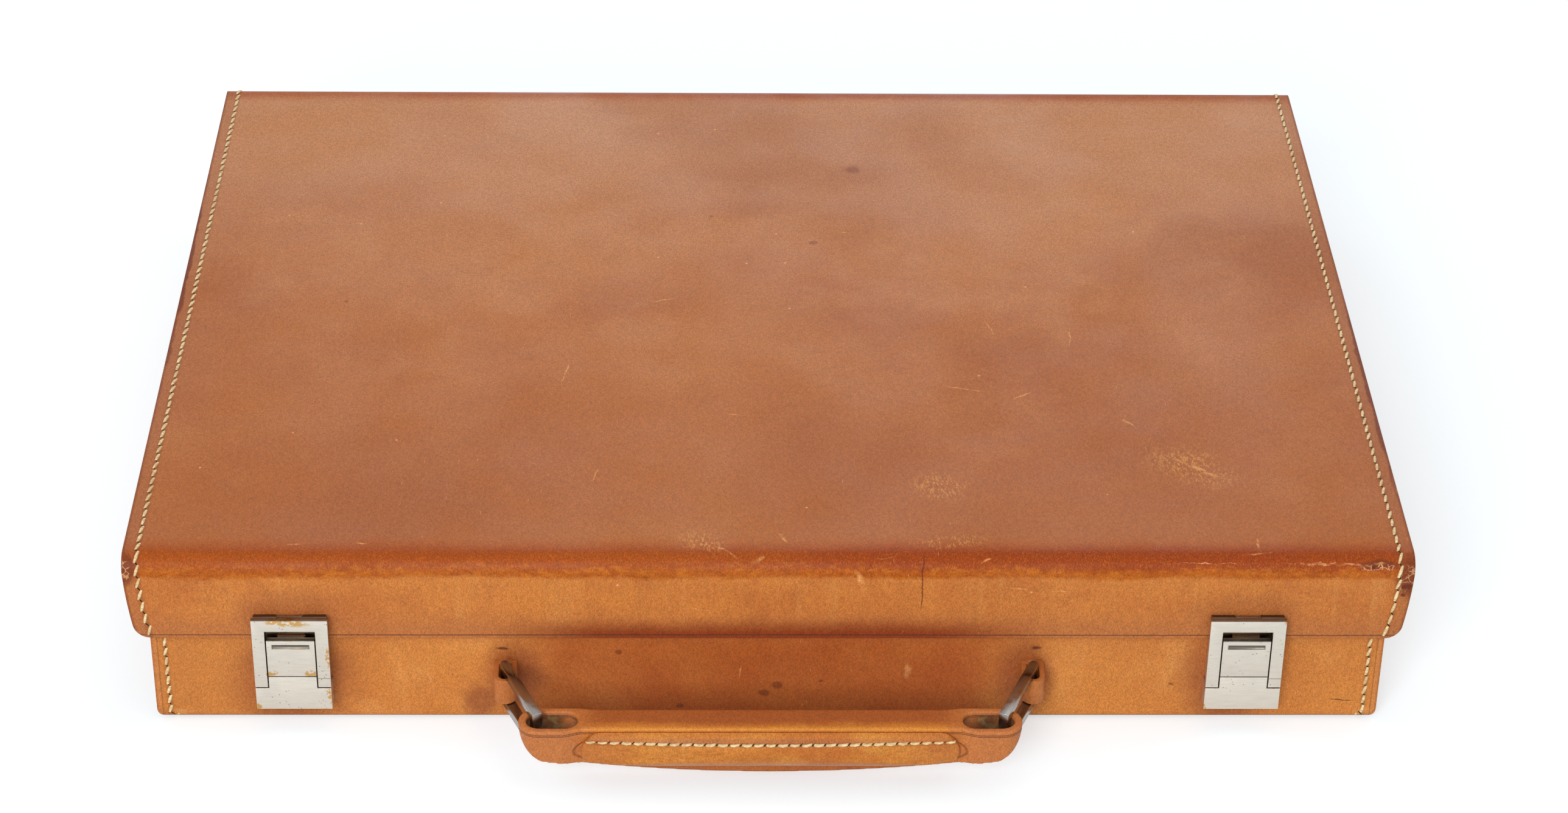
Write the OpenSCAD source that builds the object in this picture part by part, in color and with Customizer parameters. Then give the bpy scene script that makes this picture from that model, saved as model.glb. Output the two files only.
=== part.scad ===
// Slim leather vanity case: a shallow base and a hinged lid, each a leather sheet sewn to
// inset end panels over a wooden tray. Two hasps hang on the lid over catch flaps on the
// base, and a leather carrying handle hangs on two metal links. Units are millimetres.
// X runs along the width, Y from the handle (front, negative) to the hinges (back) and
// Z up. The origin is the centre of the underside.

/* [Case] */
// Width of the lid between the edges of its leather sheet
lid_w = 440; // [400:1:480]
// Depth of the lid, front to back
lid_d = 340; // [300:1:380]
// Height of the lid
lid_h = 33; // [31:0.5:45]
// Height of the base
base_h = 36.3; // [35:0.1:46]
// How far each edge of the base's sheet stands in from the lid's
side_step = 7.25; // [6:0.25:9]
// How far the base's front stands behind the lid's
front_step = 2.5; // [1.5:0.5:3.5]
// Gap between the closed lid and the base
shut_gap = 0.4; // [0.3:0.1:0.8]

/* [Outline] */
// Radius of the lid's long top edges
lid_edge_r = 6.5; // [5:0.5:9]
// Radius of the base's long lower edges
base_edge_r = 3; // [2.8:0.1:5]
// Radius of the bow in the lid's side edges, seen from the front
side_bow_r = 180; // [150:5:220]
// Radius of the lid's lower corners, seen from the front
lid_corner_r = 6; // [4:0.5:8]
// Radius of the base's lower corners, seen from the front
base_corner_r = 4.5; // [3:0.5:7]

/* [Leather and boards] */
// Thickness of the leather sheet
sheet_t = 2.4; // [2:0.1:2.8]
// Thickness of the leather end panels
panel_t = 2; // [1.6:0.1:2.2]
// Thickness of the wooden tray walls
board_t = 4; // [3.5:0.25:5]
// Depth of the recess at each end of the lid
lid_flange = 9; // [8:0.5:10]
// Depth of the recess at each end of the base
base_flange = 7; // [6:0.5:8]
// Thickness of the suede pads on the floor and ceiling
pad_t = 1.2; // [0.8:0.1:1.5]
// Thickness of the suede covered liner of the base
liner_t = 2; // [1.6:0.1:2.4]
// Height of the liner's lip above the base's rim
lip_h = 8; // [6:0.5:10]
// Play between the lip and the lid
lip_play = 0.6; // [0.4:0.1:0.8]

/* [Mirror] */
// Width of the mirror's leather frame
mirror_w = 300; // [240:5:330]
// Depth of the mirror's leather frame, front to back
mirror_d = 210; // [160:5:240]
// Width of each side of the mirror's frame
frame_side = 14; // [11:1:20]
// Thickness of the mirror's frame
frame_t = 4.5; // [4:0.25:5]
// Thickness of the mirror glass
glass_t = 2.5; // [2:0.1:2.8]

/* [Latches] */
// Distance of each latch's middle from the lid's side
latch_in = 56; // [45:1:80]
// Width of a latch
latch_w = 26; // [24:0.5:30]
// Height of a hasp's top above the base's rim
hasp_rise = 10.9; // [10.5:0.1:13]
// Depth of a hasp's legs below the base's rim
hasp_drop = 17.3; // [15:0.1:18.5]
// Width of a hasp's legs
leg_w = 4.35; // [4:0.05:5]
// Height of a hasp's top bar
bar_h = 4.6; // [4:0.1:5]
// Thickness of a hasp
hasp_t = 1.9; // [1.7:0.1:2.2]
// How far a hasp's face stands in front of the lid
latch_out = 4.6; // [4.5:0.1:5]
// Thickness of the hasp plate on the lid
hasp_plate_t = 1.2; // [1:0.1:1.3]
// Height of the raised foot of a lock plate
foot_h = 8.9; // [8:0.1:9.5]
// Height of the lock plate's lower edge above the ground
foot_z = 9.6; // [8:0.1:9.8]
// Height of a catch flap
flap_h = 15; // [14:0.1:15.5]
// Thickness of a catch flap
flap_t = 2.2; // [1.9:0.1:2.3]
// Radius of the hasps' hinge pins
hasp_pin_r = 0.5; // [0.4:0.05:0.6]
// Radius of the catches' pivot pins
catch_pin_r = 0.7; // [0.5:0.05:0.8]

/* [Handle] */
// Length of the handle
handle_len = 170.8; // [160:0.2:174]
// Height of the handle's top above the ground
handle_top = 25.6; // [25.3:0.1:27]
// Height of the handle in the middle
handle_h = 18.5; // [17:0.1:19.5]
// Height of the handle's ends, where the links pass
eye_h = 9.9; // [9:0.1:10]
// Depth of the handle's ends, front to back
eye_d = 13.9; // [13:0.1:15]
// Thickness of the leather round the eyes at the handle's ends
eye_wall = 2.7; // [2.2:0.1:3.2]
// Length of each eye
eye_len = 17.5; // [16:0.5:19]
// Distance of the ends' centre line in front of the base
eye_out = 33.95; // [33:0.05:36]
// Depth of the grip core, front to back
core_d = 11.2; // [10:0.1:12]
// Radius of the bow of the handle's underside
belly_r = 520; // [480:5:600]
// Radius of the handle's lower corners, seen from the front
handle_corner_r = 14; // [12:0.5:15]
// Length of the sewn grip pad
grip_len = 128; // [110:1:132]
// Height of the grip pad
grip_h = 14.6; // [13:0.1:15]
// Height of the core that shows below the grip pad
grip_foot = 2.4; // [1.5:0.1:3]
// How far the grip pad bulges in front of the core
grip_bulge = 4.4; // [3.5:0.1:5]
// How far the grip pad's ends stand in front of the core
grip_end = 2.2; // [1.5:0.1:2.8]

/* [Links] */
// Distance of each leather loop from the middle of the case
loop_x = 91; // [90.5:0.1:94]
// How far a link's rear bar stands in front of the base
link_out = 6.5; // [6:0.1:7]
// Length of a link between its two bars
link_len = 29.5; // [28.5:0.1:30.5]
// Angle of the links at rest, from the case's width
link_angle = 66.8; // [66:0.1:68]
// Thickness of the link's metal, seen from the front
link_t = 3; // [2.6:0.1:3.2]
// Width of the link's metal, seen from above
link_w = 3.3; // [3:0.1:3.4]
// Width of a leather loop
loop_w = 7.8; // [7.4:0.1:8]
// How far a leather loop stands in front of the base
loop_out = 12.7; // [12:0.1:13.5]
// Thickness of the loops' leather
loop_t = 1.8; // [1.6:0.1:1.9]

/* [Hinges] */
// Distance of the outer hinges from the middle one
hinge_pitch = 135; // [110:1:150]
// Width of one hinge
hinge_w = 54; // [48:1:64]
// Height of each hinge leaf, from the pin
leaf_h = 16; // [14:0.5:19]
// Thickness of a hinge leaf
leaf_t = 1.4; // [1.2:0.1:1.6]
// Radius of the hinge knuckles
knuckle_r = 2; // [1.8:0.1:2.2]
// Radius of the hinge pins
hinge_pin_r = 1; // [0.8:0.05:1.1]
// Opening angle at which the hinges' shoulders meet
open_angle = 100; // [95:1:105]

/* [Hidden] */
$fn = 64;
// Segments of the large arcs
arc_fn = 360;
// Overlap that joins the pieces of one solid, and by which cuts pass their walls
lap = 1;
// Least radius inside the base's lower edges
least_r = 0.5;
// Play between parts that move past each other
play = 0.3;
// Play of a pin in its bore
pin_play = 0.05;
// Play round rivets and screws in their holes
hole_play = 0.1;

base_w = lid_w - 2 * side_step;
total_h = base_h + lid_h;
lid_z = base_h + shut_gap;
lid_front = -lid_d / 2;
case_back = lid_d / 2;
base_front = lid_front + front_step;
base_wall_x = base_w / 2 - base_flange;
lid_wall_x = lid_w / 2 - lid_flange;
shell_t = sheet_t + board_t;
base_in_x = base_wall_x - panel_t - board_t;
lid_in_x = lid_wall_x - panel_t - board_t;
room_x = base_in_x - liner_t;
room_front = base_front + shell_t + liner_t;
room_back = case_back - shell_t - liner_t;
floor_z = shell_t + pad_t;
ceiling_z = total_h - shell_t - pad_t;
lip_top = base_h + lip_h;

// Shapes shared by several pieces

// Lays an outline drawn in (y, z) out along X, about the middle
module along_x(length) {
    rotate([90, 0, 90]) linear_extrude(length, center = true) children();
}

// Lays an outline drawn in (x, z) out along Y, about the middle
module along_y(length) {
    rotate([90, 0, 0]) linear_extrude(length, center = true) children();
}

// Box between two corners
module block(low, high) {
    translate(low) cube(high - low);
}

// Round bar along X
module bar_x(r, length) {
    rotate([0, 90, 0]) cylinder(r = r, h = length, center = true);
}

// Round bar along Y that starts at y = 0 and runs back
module bar_y(r, length) {
    rotate([-90, 0, 0]) cylinder(r = r, h = length);
}

// The same thing on the left and on the right of the case
module both_sides(x) {
    for (side = [-1, 1]) translate([side * x, 0, 0]) children();
}

// Rectangle whose two lower corners are round
module round_foot(x0, x1, y0, y1, r) {
    difference() {
        translate([x0, y0]) square([x1 - x0, y1 - y0]);
        for (side = [-1, 1])
            translate([side > 0 ? x1 - r : x0 + r, y0 + r]) difference() {
                translate([side > 0 ? 0 : -r - lap, -r - lap]) square(r + lap);
                circle(r);
            }
    }
}

// Section of the base's shell, drawn in (y, z) and drawn in by inset from its outer face
module base_section(inset, rise) {
    round_foot(base_front + inset, case_back - inset, inset, base_h + rise, max(base_edge_r - inset, least_r));
}

// Section of the lid's shell, drawn in (y, z)
module lid_section(inset, drop) {
    translate([0, total_h]) mirror([0, 1])
        round_foot(lid_front + inset, case_back - inset, inset, total_h - lid_z + drop, lid_edge_r - inset);
}

// Front view of the base
module base_face() {
    round_foot(-base_w / 2, base_w / 2, 0, base_h, base_corner_r);
}

// Front view of the lid: its sides bow in towards the rim and end in round corners
module lid_face() {
    bow_x = lid_w / 2 - side_bow_r;
    corner_z = lid_z + lid_corner_r;
    corner_x = bow_x + sqrt(pow(side_bow_r - lid_corner_r, 2) - pow(total_h - corner_z, 2));
    rise = total_h - lid_z;
    difference() {
        intersection() {
            translate([-lid_w / 2, lid_z]) square([lid_w, rise]);
            union() {
                translate([-bow_x, lid_z - lap]) square([2 * bow_x, rise + 2 * lap]);
                for (side = [-1, 1]) translate([side * bow_x, total_h]) circle(side_bow_r, $fn = arc_fn);
            }
        }
        for (side = [-1, 1])
            translate([side * corner_x, corner_z]) difference() {
                translate([side > 0 ? 0 : -2 * lid_corner_r, -lid_corner_r - lap])
                    square([2 * lid_corner_r, lid_corner_r + lap]);
                circle(lid_corner_r);
            }
    }
}

// Leather end panel of the base: a wall with its edge turned out under the sheet
module base_end() {
    edge_x = base_w / 2;
    intersection() {
        difference() {
            along_x(2 * edge_x) base_section(sheet_t, 0);
            block([-edge_x - lap, base_front, 0], [base_wall_x - panel_t, case_back, base_h + lap]);
            difference() {
                along_x(2 * edge_x + lap) base_section(sheet_t + panel_t, lap);
                block([-edge_x, base_front, 0], [base_wall_x, case_back, base_h + 2 * lap]);
            }
        }
        along_y(lid_d + lap) base_face();
    }
}

// Leather end panel of the lid
module lid_end() {
    edge_x = lid_w / 2;
    intersection() {
        difference() {
            along_x(2 * edge_x) lid_section(sheet_t, 0);
            block([-edge_x - lap, lid_front, lid_z - lap], [lid_wall_x - panel_t, case_back, total_h]);
            difference() {
                along_x(2 * edge_x + lap) lid_section(sheet_t + panel_t, lap);
                block([-edge_x, lid_front, lid_z - 2 * lap], [lid_wall_x, case_back, total_h]);
            }
        }
        along_y(lid_d + lap) lid_face();
    }
}

// Hinges
axis_sink = 0.2;
axis_y = case_back + leaf_t - axis_sink;
axis_z = base_h + shut_gap / 2;
knuckle_count = 5;
knuckle_w = hinge_w / knuckle_count;
shoulder = 3;
shoulder_r = knuckle_r + shoulder;
shoulder_play = 0.3;
screw_r = 1.1;
screw_head_r = 2.1;
screw_head_h = 1;
screw_len = 5.4;
screw_margin = 7;
screw_x = [-hinge_w / 2 + screw_margin, 0, hinge_w / 2 - screw_margin];
screw_drop = 10.5;
board_corner_r = 1;
lid_board_corner_r = 4.7;

module hinge_places() {
    for (x = [-hinge_pitch, 0, hinge_pitch]) translate([x, axis_y, axis_z]) children();
}

// Which leaf owns each knuckle: the base has the outer two and the middle one
function knuckle_x(i) = (i - (knuckle_count - 1) / 2) * knuckle_w;

// One leaf seen along its pin, for the base: the plate, and the bevelled shoulder that stops the lid
module leaf_section() {
    half_stop = open_angle / 2 + shoulder_play;
    inner_r = knuckle_r + play;
    union() {
        translate([case_back - axis_y, -leaf_h]) square([leaf_t, leaf_h - inner_r]);
        polygon([
            [case_back - axis_y, -inner_r],
            [inner_r * cos(half_stop), -inner_r * sin(half_stop)],
            [shoulder_r * cos(half_stop), -shoulder_r * sin(half_stop)],
            [case_back - axis_y + leaf_t, -leaf_h / 2 - knuckle_r],
            [case_back - axis_y, -leaf_h / 2 - knuckle_r]
        ]);
    }
}

module screw_places() {
    for (x = screw_x) translate([x, case_back - axis_y + leaf_t, -screw_drop]) children();
}

// Countersunk screw whose head is flush at y = 0 and whose shank runs forwards
module screw(clear) {
    rotate([90, 0, 0]) union() {
        translate([0, 0, screw_head_h - lap / 10]) cylinder(r = screw_r + clear, h = screw_len + lap / 10);
        cylinder(r1 = screw_head_r + clear, r2 = screw_r + clear, h = screw_head_h);
    }
}

// One leaf with its knuckles; own lists the knuckles that it holds
module hinge_leaf(own) {
    difference() {
        union() {
            difference() {
                along_x(hinge_w) leaf_section();
                bar_x(knuckle_r + play, hinge_w + lap);
            }
            for (i = own) translate([knuckle_x(i), 0, 0]) intersection() {
                union() {
                    bar_x(knuckle_r, knuckle_w - play);
                    block([-knuckle_w, case_back - axis_y, -knuckle_r - lap], [knuckle_w, 0, 0]);
                }
                block([-knuckle_w / 2 + play / 2, -knuckle_r, -2 * knuckle_r],
                    [knuckle_w / 2 - play / 2, knuckle_r, knuckle_r]);
            }
        }
        bar_x(hinge_pin_r + pin_play, hinge_w + lap);
        screw_places() screw(hole_play);
    }
}

// Room that the shells leave round the hinges: the barrels and the screws
module hinge_room(below) {
    hinge_places() {
        bar_x(knuckle_r + play, hinge_w + play);
        mirror([0, 0, below ? 0 : 1]) screw_places() screw(hole_play);
    }
}

// Handle links and their leather loops
link_z = handle_top - eye_h / 2;
link_gap = eye_h + 2 * play;
link_top = link_z + link_gap / 2;
bar_r = 1.6;
loop_h = eye_h;
link_back = base_front - link_out;
tail_w = 24;
tail_rivet = 8.5;
rivet_r = 1.1;
rivet_head_r = 2.2;
rivet_head_h = 0.8;

// Plan of a leather loop: two walls that come out of the case and turn round a bar
module loop_plan() {
    turn_y = base_front - loop_out + loop_w / 2;
    difference() {
        union() {
            translate([0, turn_y]) circle(loop_w / 2);
            translate([-loop_w / 2, turn_y]) square([loop_w, base_front - turn_y]);
            translate([-loop_t, base_front - lap]) square([2 * loop_t, shell_t + lap]);
        }
        translate([0, turn_y]) circle(loop_w / 2 - loop_t);
        translate([-loop_w / 2 + loop_t, turn_y]) square([loop_w - 2 * loop_t, base_front - turn_y - loop_t]);
    }
}

// Leather loop that holds a link, with its tails turned out behind the wooden wall
module handle_loop() {
    tail_y = base_front + shell_t;
    difference() {
        translate([0, 0, link_z - loop_h / 2]) linear_extrude(loop_h) union() {
            loop_plan();
            translate([-tail_w / 2, tail_y - loop_t]) square([tail_w, loop_t]);
        }
        both_sides(tail_rivet) translate([0, tail_y - loop_t - lap, link_z]) bar_y(rivet_r, 2 * lap + loop_t);
    }
}

// Room that the walls leave for a loop's neck, tails and rivets
module loop_room() {
    tail_y = base_front + shell_t;
    z0 = link_z - loop_h / 2 - play;
    z1 = link_z + loop_h / 2 + play;
    block([-loop_t - play, base_front - lap, z0], [loop_t + play, tail_y + lap, z1]);
    block([-tail_w / 2 - play, tail_y - loop_t - play, z0], [tail_w / 2 + play, tail_y + lap, z1]);
}

module loop_rivet() {
    tail_y = base_front + shell_t;
    translate([0, tail_y - board_t, link_z]) bar_y(rivet_r - hole_play, board_t);
}

// Wire link: two flat arms with mitred front corners, and a round rear bar that turns in the loop
module link() {
    rotate([0, 0, -link_angle]) difference() {
        union() {
            translate([0, 0, link_z - link_gap / 2 - link_t]) cylinder(r = bar_r, h = link_gap + 2 * link_t);
            block([0, -link_w / 2, link_z - link_gap / 2 - link_t],
                [link_len + link_w / 2, link_w / 2, link_z + link_gap / 2 + link_t]);
        }
        difference() {
            block([-lap, -link_w, link_z - link_gap / 2],
                [link_len - link_w / 2, link_w, link_z + link_gap / 2]);
            cylinder(r = bar_r, h = total_h);
        }
    }
}

// Handle
eye_y = base_front - eye_out;
core_step = 0.8;
core_back = eye_y + eye_d / 2 - core_step;
core_front = core_back - core_d;
eye_r = eye_d / 2;
eye_end = handle_len / 2;
belly_end = 25.4;
belly_x = eye_end - belly_end;
handle_low = handle_top - handle_h;
shoulder_w = 6;
grip_drop = 1;
grip_front = core_front - grip_bulge;

// Plan of the handle: a straight core that widens into a round ended eye at each end
module handle_plan() {
    hole_r = eye_r - eye_wall;
    hole_out = eye_end - eye_wall - hole_r;
    hole_in = hole_out - eye_len + 2 * hole_r;
    grip_x = grip_len / 2 + play;
    difference() {
        polygon([
            [-grip_x, core_front], [grip_x, core_front],
            [grip_x + shoulder_w, eye_y - eye_r], [eye_end, eye_y - eye_r],
            [eye_end, eye_y + eye_r], [belly_x + shoulder_w, eye_y + eye_r],
            [belly_x, core_back], [-belly_x, core_back],
            [-belly_x - shoulder_w, eye_y + eye_r], [-eye_end, eye_y + eye_r],
            [-eye_end, eye_y - eye_r], [-grip_x - shoulder_w, eye_y - eye_r]
        ]);
        for (side = [-1, 1]) {
            translate([side * (eye_end - eye_r), eye_y]) difference() {
                translate([side > 0 ? 0 : -eye_r - lap, -eye_r - lap]) square([eye_r + lap, 2 * (eye_r + lap)]);
                circle(eye_r);
            }
            translate([side * hole_out, eye_y]) circle(hole_r);
            translate([side * hole_in, eye_y]) circle(hole_r);
            translate([side > 0 ? hole_in : -hole_out, eye_y - hole_r]) square([hole_out - hole_in, 2 * hole_r]);
        }
    }
}

// Front view of the handle: level on top, with a slightly bowed underside and round lower corners
module handle_face() {
    corner_x = eye_end - handle_corner_r;
    intersection() {
        translate([-eye_end, handle_low]) square([handle_len, handle_h]);
        translate([0, handle_low + belly_r]) circle(belly_r, $fn = arc_fn);
        union() {
            translate([-corner_x, handle_low - lap]) square([2 * corner_x, handle_h + 2 * lap]);
            for (side = [-1, 1]) translate([side * corner_x, handle_top]) circle(handle_corner_r);
        }
    }
}

module handle_body() {
    relief_x = eye_end - eye_wall - eye_len - link_w / 2;
    relief_y = eye_y - eye_r + eye_wall;
    difference() {
        intersection() {
            translate([0, 0, handle_low - lap]) linear_extrude(handle_h + 2 * lap) handle_plan();
            along_y(2 * lid_d) handle_face();
        }
        for (side = [-1, 1])
            block([side > 0 ? relief_x : -eye_end - lap, relief_y, 0],
                [side > 0 ? eye_end + lap : -relief_x, base_front, link_z - eye_h / 2]);
    }
}

// Padded grip: a bulged panel on the front of the core, with round ends
module grip_pad() {
    face_r = (pow(grip_h / 2, 2) + pow(grip_bulge, 2)) / (2 * grip_bulge);
    bow = grip_bulge - grip_end;
    plan_r = (pow(grip_len / 2, 2) + pow(bow, 2)) / (2 * bow);
    grip_z = handle_top - grip_drop - grip_h / 2;
    end_r = grip_h / 2;
    intersection() {
        translate([0, grip_front + face_r, grip_z]) bar_x(face_r, grip_len);
        translate([0, grip_front + plan_r, 0]) cylinder(r = plan_r, h = total_h, $fn = arc_fn);
        block([-grip_len / 2, grip_front - lap, 0], [grip_len / 2, core_front, total_h]);
        translate([0, core_front, handle_low + grip_foot + belly_r])
            rotate([90, 0, 0]) cylinder(r = belly_r, h = 3 * grip_bulge, center = true, $fn = arc_fn);
        union() {
            block([-grip_len / 2 + end_r, grip_front - lap, 0], [grip_len / 2 - end_r, core_front + lap, total_h]);
            both_sides(grip_len / 2 - end_r) translate([0, grip_front - lap, grip_z]) bar_y(end_r, 3 * grip_bulge);
        }
    }
}

// Latches
latch_x = lid_w / 2 - latch_in;
hasp_top = base_h + hasp_rise;
hasp_low = base_h - hasp_drop;
hasp_front = lid_front - latch_out;
hasp_back = hasp_front + hasp_t;
plate_front = lid_front - hasp_plate_t;
hasp_axis_drop = 1;
hasp_axis_z = hasp_top - hasp_axis_drop;
hasp_axis_out = 1.8;
hasp_axis_y = lid_front - hasp_axis_out;
hasp_knuckle_r = 1.1;
hasp_knuckle_w = (latch_w - 2 * leg_w) / 2;
open_w = latch_w - 2 * leg_w;
plate_inset = 0.5;
plate_drop = 0.5;
flap_play = 0.4;
flap_w = open_w - 2 * flap_play;
neck_h = 5.2;
flap_low = foot_z + foot_h + neck_h;
flap_top = flap_low + flap_h;
flap_back = hasp_front + flap_t;
catch_sink = 1;
catch_y = flap_back + catch_sink;
catch_z = flap_low + flap_h / 2 - catch_sink;
catch_knuckle_r = 1.4;
catch_knuckle_w = 2.6;
nose_w = 9;
nose_h = 1.3;
latch_rivet_x = 8;
spring_w = 5;
spring_play = 0.8;
spring_rise = 1.4;
groove_r = 1;
groove_drop = 2.6;
groove_end = 2;

// Hasp plate on the lid, with the two outer knuckles and a notch for the catch's nose
module hasp_plate() {
    w = latch_w - 2 * plate_inset;
    difference() {
        union() {
            block([-w / 2, plate_front, lid_z], [w / 2, lid_front, hasp_top - plate_drop]);
            both_sides((w + hasp_knuckle_w + play) / 4)
                translate([0, hasp_axis_y, hasp_axis_z]) bar_x(hasp_knuckle_r, (w - hasp_knuckle_w - play) / 2);
        }
        translate([0, hasp_axis_y, hasp_axis_z]) bar_x(hasp_pin_r + pin_play, latch_w + lap);
        block([-hasp_knuckle_w / 2 - play / 2, plate_front - lap, hasp_axis_z - hasp_knuckle_r - play],
            [hasp_knuckle_w / 2 + play / 2, lid_front + lap, hasp_top + lap]);
        block([-nose_w / 2 - play, plate_front - lap, lid_z - lap], [nose_w / 2 + play, lid_front, flap_top + play]);
    }
}

// Hasp: a flat arch with two legs that hangs on the plate's pin
module hasp() {
    difference() {
        union() {
            block([-latch_w / 2, hasp_front, hasp_low], [latch_w / 2, hasp_back, hasp_top]);
            translate([0, hasp_axis_y, hasp_axis_z]) bar_x(hasp_knuckle_r, hasp_knuckle_w);
            block([-hasp_knuckle_w / 2, hasp_front + lap, hasp_axis_z - hasp_knuckle_r],
                [hasp_knuckle_w / 2, hasp_axis_y, hasp_top]);
        }
        block([-open_w / 2, hasp_front - lap, hasp_low - lap], [open_w / 2, hasp_back + lap, hasp_top - bar_h]);
        both_sides((latch_w + hasp_knuckle_w) / 4)
            translate([0, hasp_axis_y, hasp_axis_z]) bar_x(hasp_knuckle_r + play, (latch_w - hasp_knuckle_w) / 2);
        translate([0, hasp_axis_y, hasp_axis_z]) bar_x(hasp_pin_r + pin_play, latch_w + lap);
    }
}

// Lock plate on the base: a flat back, a raised foot and neck, and the middle pivot knuckle
module lock_plate() {
    w = latch_w - 2 * plate_inset;
    knuckle_span = flap_w - 2 * catch_knuckle_w - 2 * play;
    foot_top = foot_z + foot_h;
    difference() {
        union() {
            block([-w / 2, plate_front, foot_z], [w / 2, base_front, base_h - play]);
            block([-latch_w / 2, hasp_front, foot_z], [latch_w / 2, base_front, foot_top]);
            block([-flap_w / 2, hasp_front, foot_z], [flap_w / 2, base_front, flap_low - play]);
            translate([0, catch_y, catch_z]) bar_x(catch_knuckle_r, knuckle_span);
        }
        both_sides((flap_w - catch_knuckle_w) / 2)
            translate([0, catch_y, catch_z]) bar_x(catch_knuckle_r + play, catch_knuckle_w + 2 * play);
        translate([0, catch_y, catch_z]) bar_x(catch_pin_r + pin_play, latch_w + lap);
        both_sides(latch_rivet_x) translate([0, base_front - 2 * lap, foot_z + foot_h / 2]) bar_y(rivet_r, 3 * lap);
    }
}

// Catch flap: a plain lever with a thumb groove, two knuckles and a nose behind its top edge
module catch_flap() {
    knuckle_span = flap_w - 2 * catch_knuckle_w - 2 * play;
    difference() {
        union() {
            block([-flap_w / 2, hasp_front, flap_low], [flap_w / 2, flap_back, flap_top]);
            both_sides((flap_w - catch_knuckle_w) / 2)
                translate([0, catch_y, catch_z]) bar_x(catch_knuckle_r, catch_knuckle_w);
            block([-nose_w / 2, flap_back - lap, flap_top - nose_h], [nose_w / 2, plate_front - play, flap_top]);
        }
        translate([0, catch_y, catch_z]) bar_x(catch_knuckle_r + play, knuckle_span + 2 * play);
        translate([0, catch_y, catch_z]) bar_x(catch_pin_r + pin_play, flap_w + lap);
        translate([0, hasp_front - groove_r / 2, flap_top - groove_drop]) bar_x(groove_r, flap_w - 2 * groove_end);
    }
}

// Bowed leaf that holds the catch flap's top out
module catch_spring() {
    spring_z = catch_z + catch_knuckle_r + spring_rise;
    block([-spring_w / 2, flap_back + spring_play, spring_z], [spring_w / 2, plate_front, spring_z + nose_h]);
    block([-spring_w / 2, plate_front - play, spring_z], [spring_w / 2, plate_front, base_h - 2 * play]);
}

// Rivets that hold the lock plates through the base's front wall
module lock_rivet() {
    translate([0, base_front - 2 * lap + hole_play, 0]) bar_y(rivet_r - hole_play, shell_t + 2 * lap - hole_play);
}

// Rivets that hold the hasp plates through the lid's front wall
module hasp_rivet() {
    translate([0, plate_front, 0]) bar_y(rivet_r - hole_play, shell_t + hasp_plate_t);
}

module latch_places() {
    both_sides(latch_x) children();
}

lock_rivet_z = foot_z + foot_h / 2;
hasp_rivet_rise = 5.2;
hasp_rivet_z = lid_z + hasp_rivet_rise;
hasp_rivet_x = 10;

// The base

// Wooden tray
module base_carcass() color("#b98f5e") difference() {
    intersection() {
        along_x(2 * (base_wall_x - panel_t))
            round_foot(base_front + sheet_t, case_back - sheet_t, sheet_t, base_h, board_corner_r);
        block([-base_wall_x, base_front, 0], [base_wall_x, case_back, base_h]);
    }
    block([-base_in_x, base_front + shell_t, shell_t], [base_in_x, case_back - shell_t, base_h + lap]);
    hinge_room(true);
    both_sides(loop_x) loop_room();
    both_sides(loop_x) both_sides(tail_rivet)
        translate([0, base_front, link_z]) bar_y(rivet_r, shell_t + lap);
    latch_places() both_sides(latch_rivet_x)
        translate([0, base_front, lock_rivet_z]) bar_y(rivet_r, shell_t + lap);
}

// Leather sheet that wraps the front, underside and back
module base_wrap() color("#c07a3c") difference() {
    intersection() {
        along_x(base_w) base_section(0, 0);
        along_y(lid_d + lap) base_face();
    }
    along_x(base_w + lap) base_section(sheet_t, lap);
    hinge_room(true);
    both_sides(loop_x) loop_room();
    latch_places() both_sides(latch_rivet_x)
        translate([0, base_front - lap, lock_rivet_z]) bar_y(rivet_r, shell_t);
}

module base_end_left() color("#b87238") mirror([1, 0, 0]) base_end();
module base_end_right() color("#b87238") base_end();

// Suede covered frame inside the base, whose lip rises into the lid
module base_liner() color("#c9a57a") difference() {
    block([-base_in_x, base_front + shell_t, shell_t], [base_in_x, case_back - shell_t, lip_top]);
    block([-room_x, room_front, 0], [room_x, room_back, lip_top + lap]);
    difference() {
        block([-base_in_x - lap, base_front, base_h], [base_in_x + lap, case_back, lip_top + lap]);
        block([-base_in_x + lip_play, base_front + shell_t + lip_play, 0],
            [base_in_x - lip_play, case_back - shell_t - lip_play, lip_top + 2 * lap]);
    }
}

module base_floor_pad() color("#c9a57a")
    block([-room_x, room_front, shell_t], [room_x, room_back, floor_z]);

module lock_plate_left() color("#d6d0c4") translate([-latch_x, 0, 0]) lock_plate();
module lock_plate_right() color("#d6d0c4") translate([latch_x, 0, 0]) lock_plate();

module catch_pin() {
    translate([0, catch_y, catch_z]) bar_x(catch_pin_r, flap_w);
}
module catch_pin_left() color("#b8b2a6") translate([-latch_x, 0, 0]) catch_pin();
module catch_pin_right() color("#b8b2a6") translate([latch_x, 0, 0]) catch_pin();
module catch_spring_left() color("#8f8a80") translate([-latch_x, 0, 0]) catch_spring();
module catch_spring_right() color("#8f8a80") translate([latch_x, 0, 0]) catch_spring();

module lock_rivets() color("#b08d4a") latch_places()
    both_sides(latch_rivet_x) translate([0, 0, lock_rivet_z]) lock_rivet();

module handle_loop_left() color("#b56f35") translate([-loop_x, 0, 0]) handle_loop();
module handle_loop_right() color("#b56f35") translate([loop_x, 0, 0]) handle_loop();
module loop_rivets() color("#b08d4a") both_sides(loop_x) both_sides(tail_rivet) loop_rivet();

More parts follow.
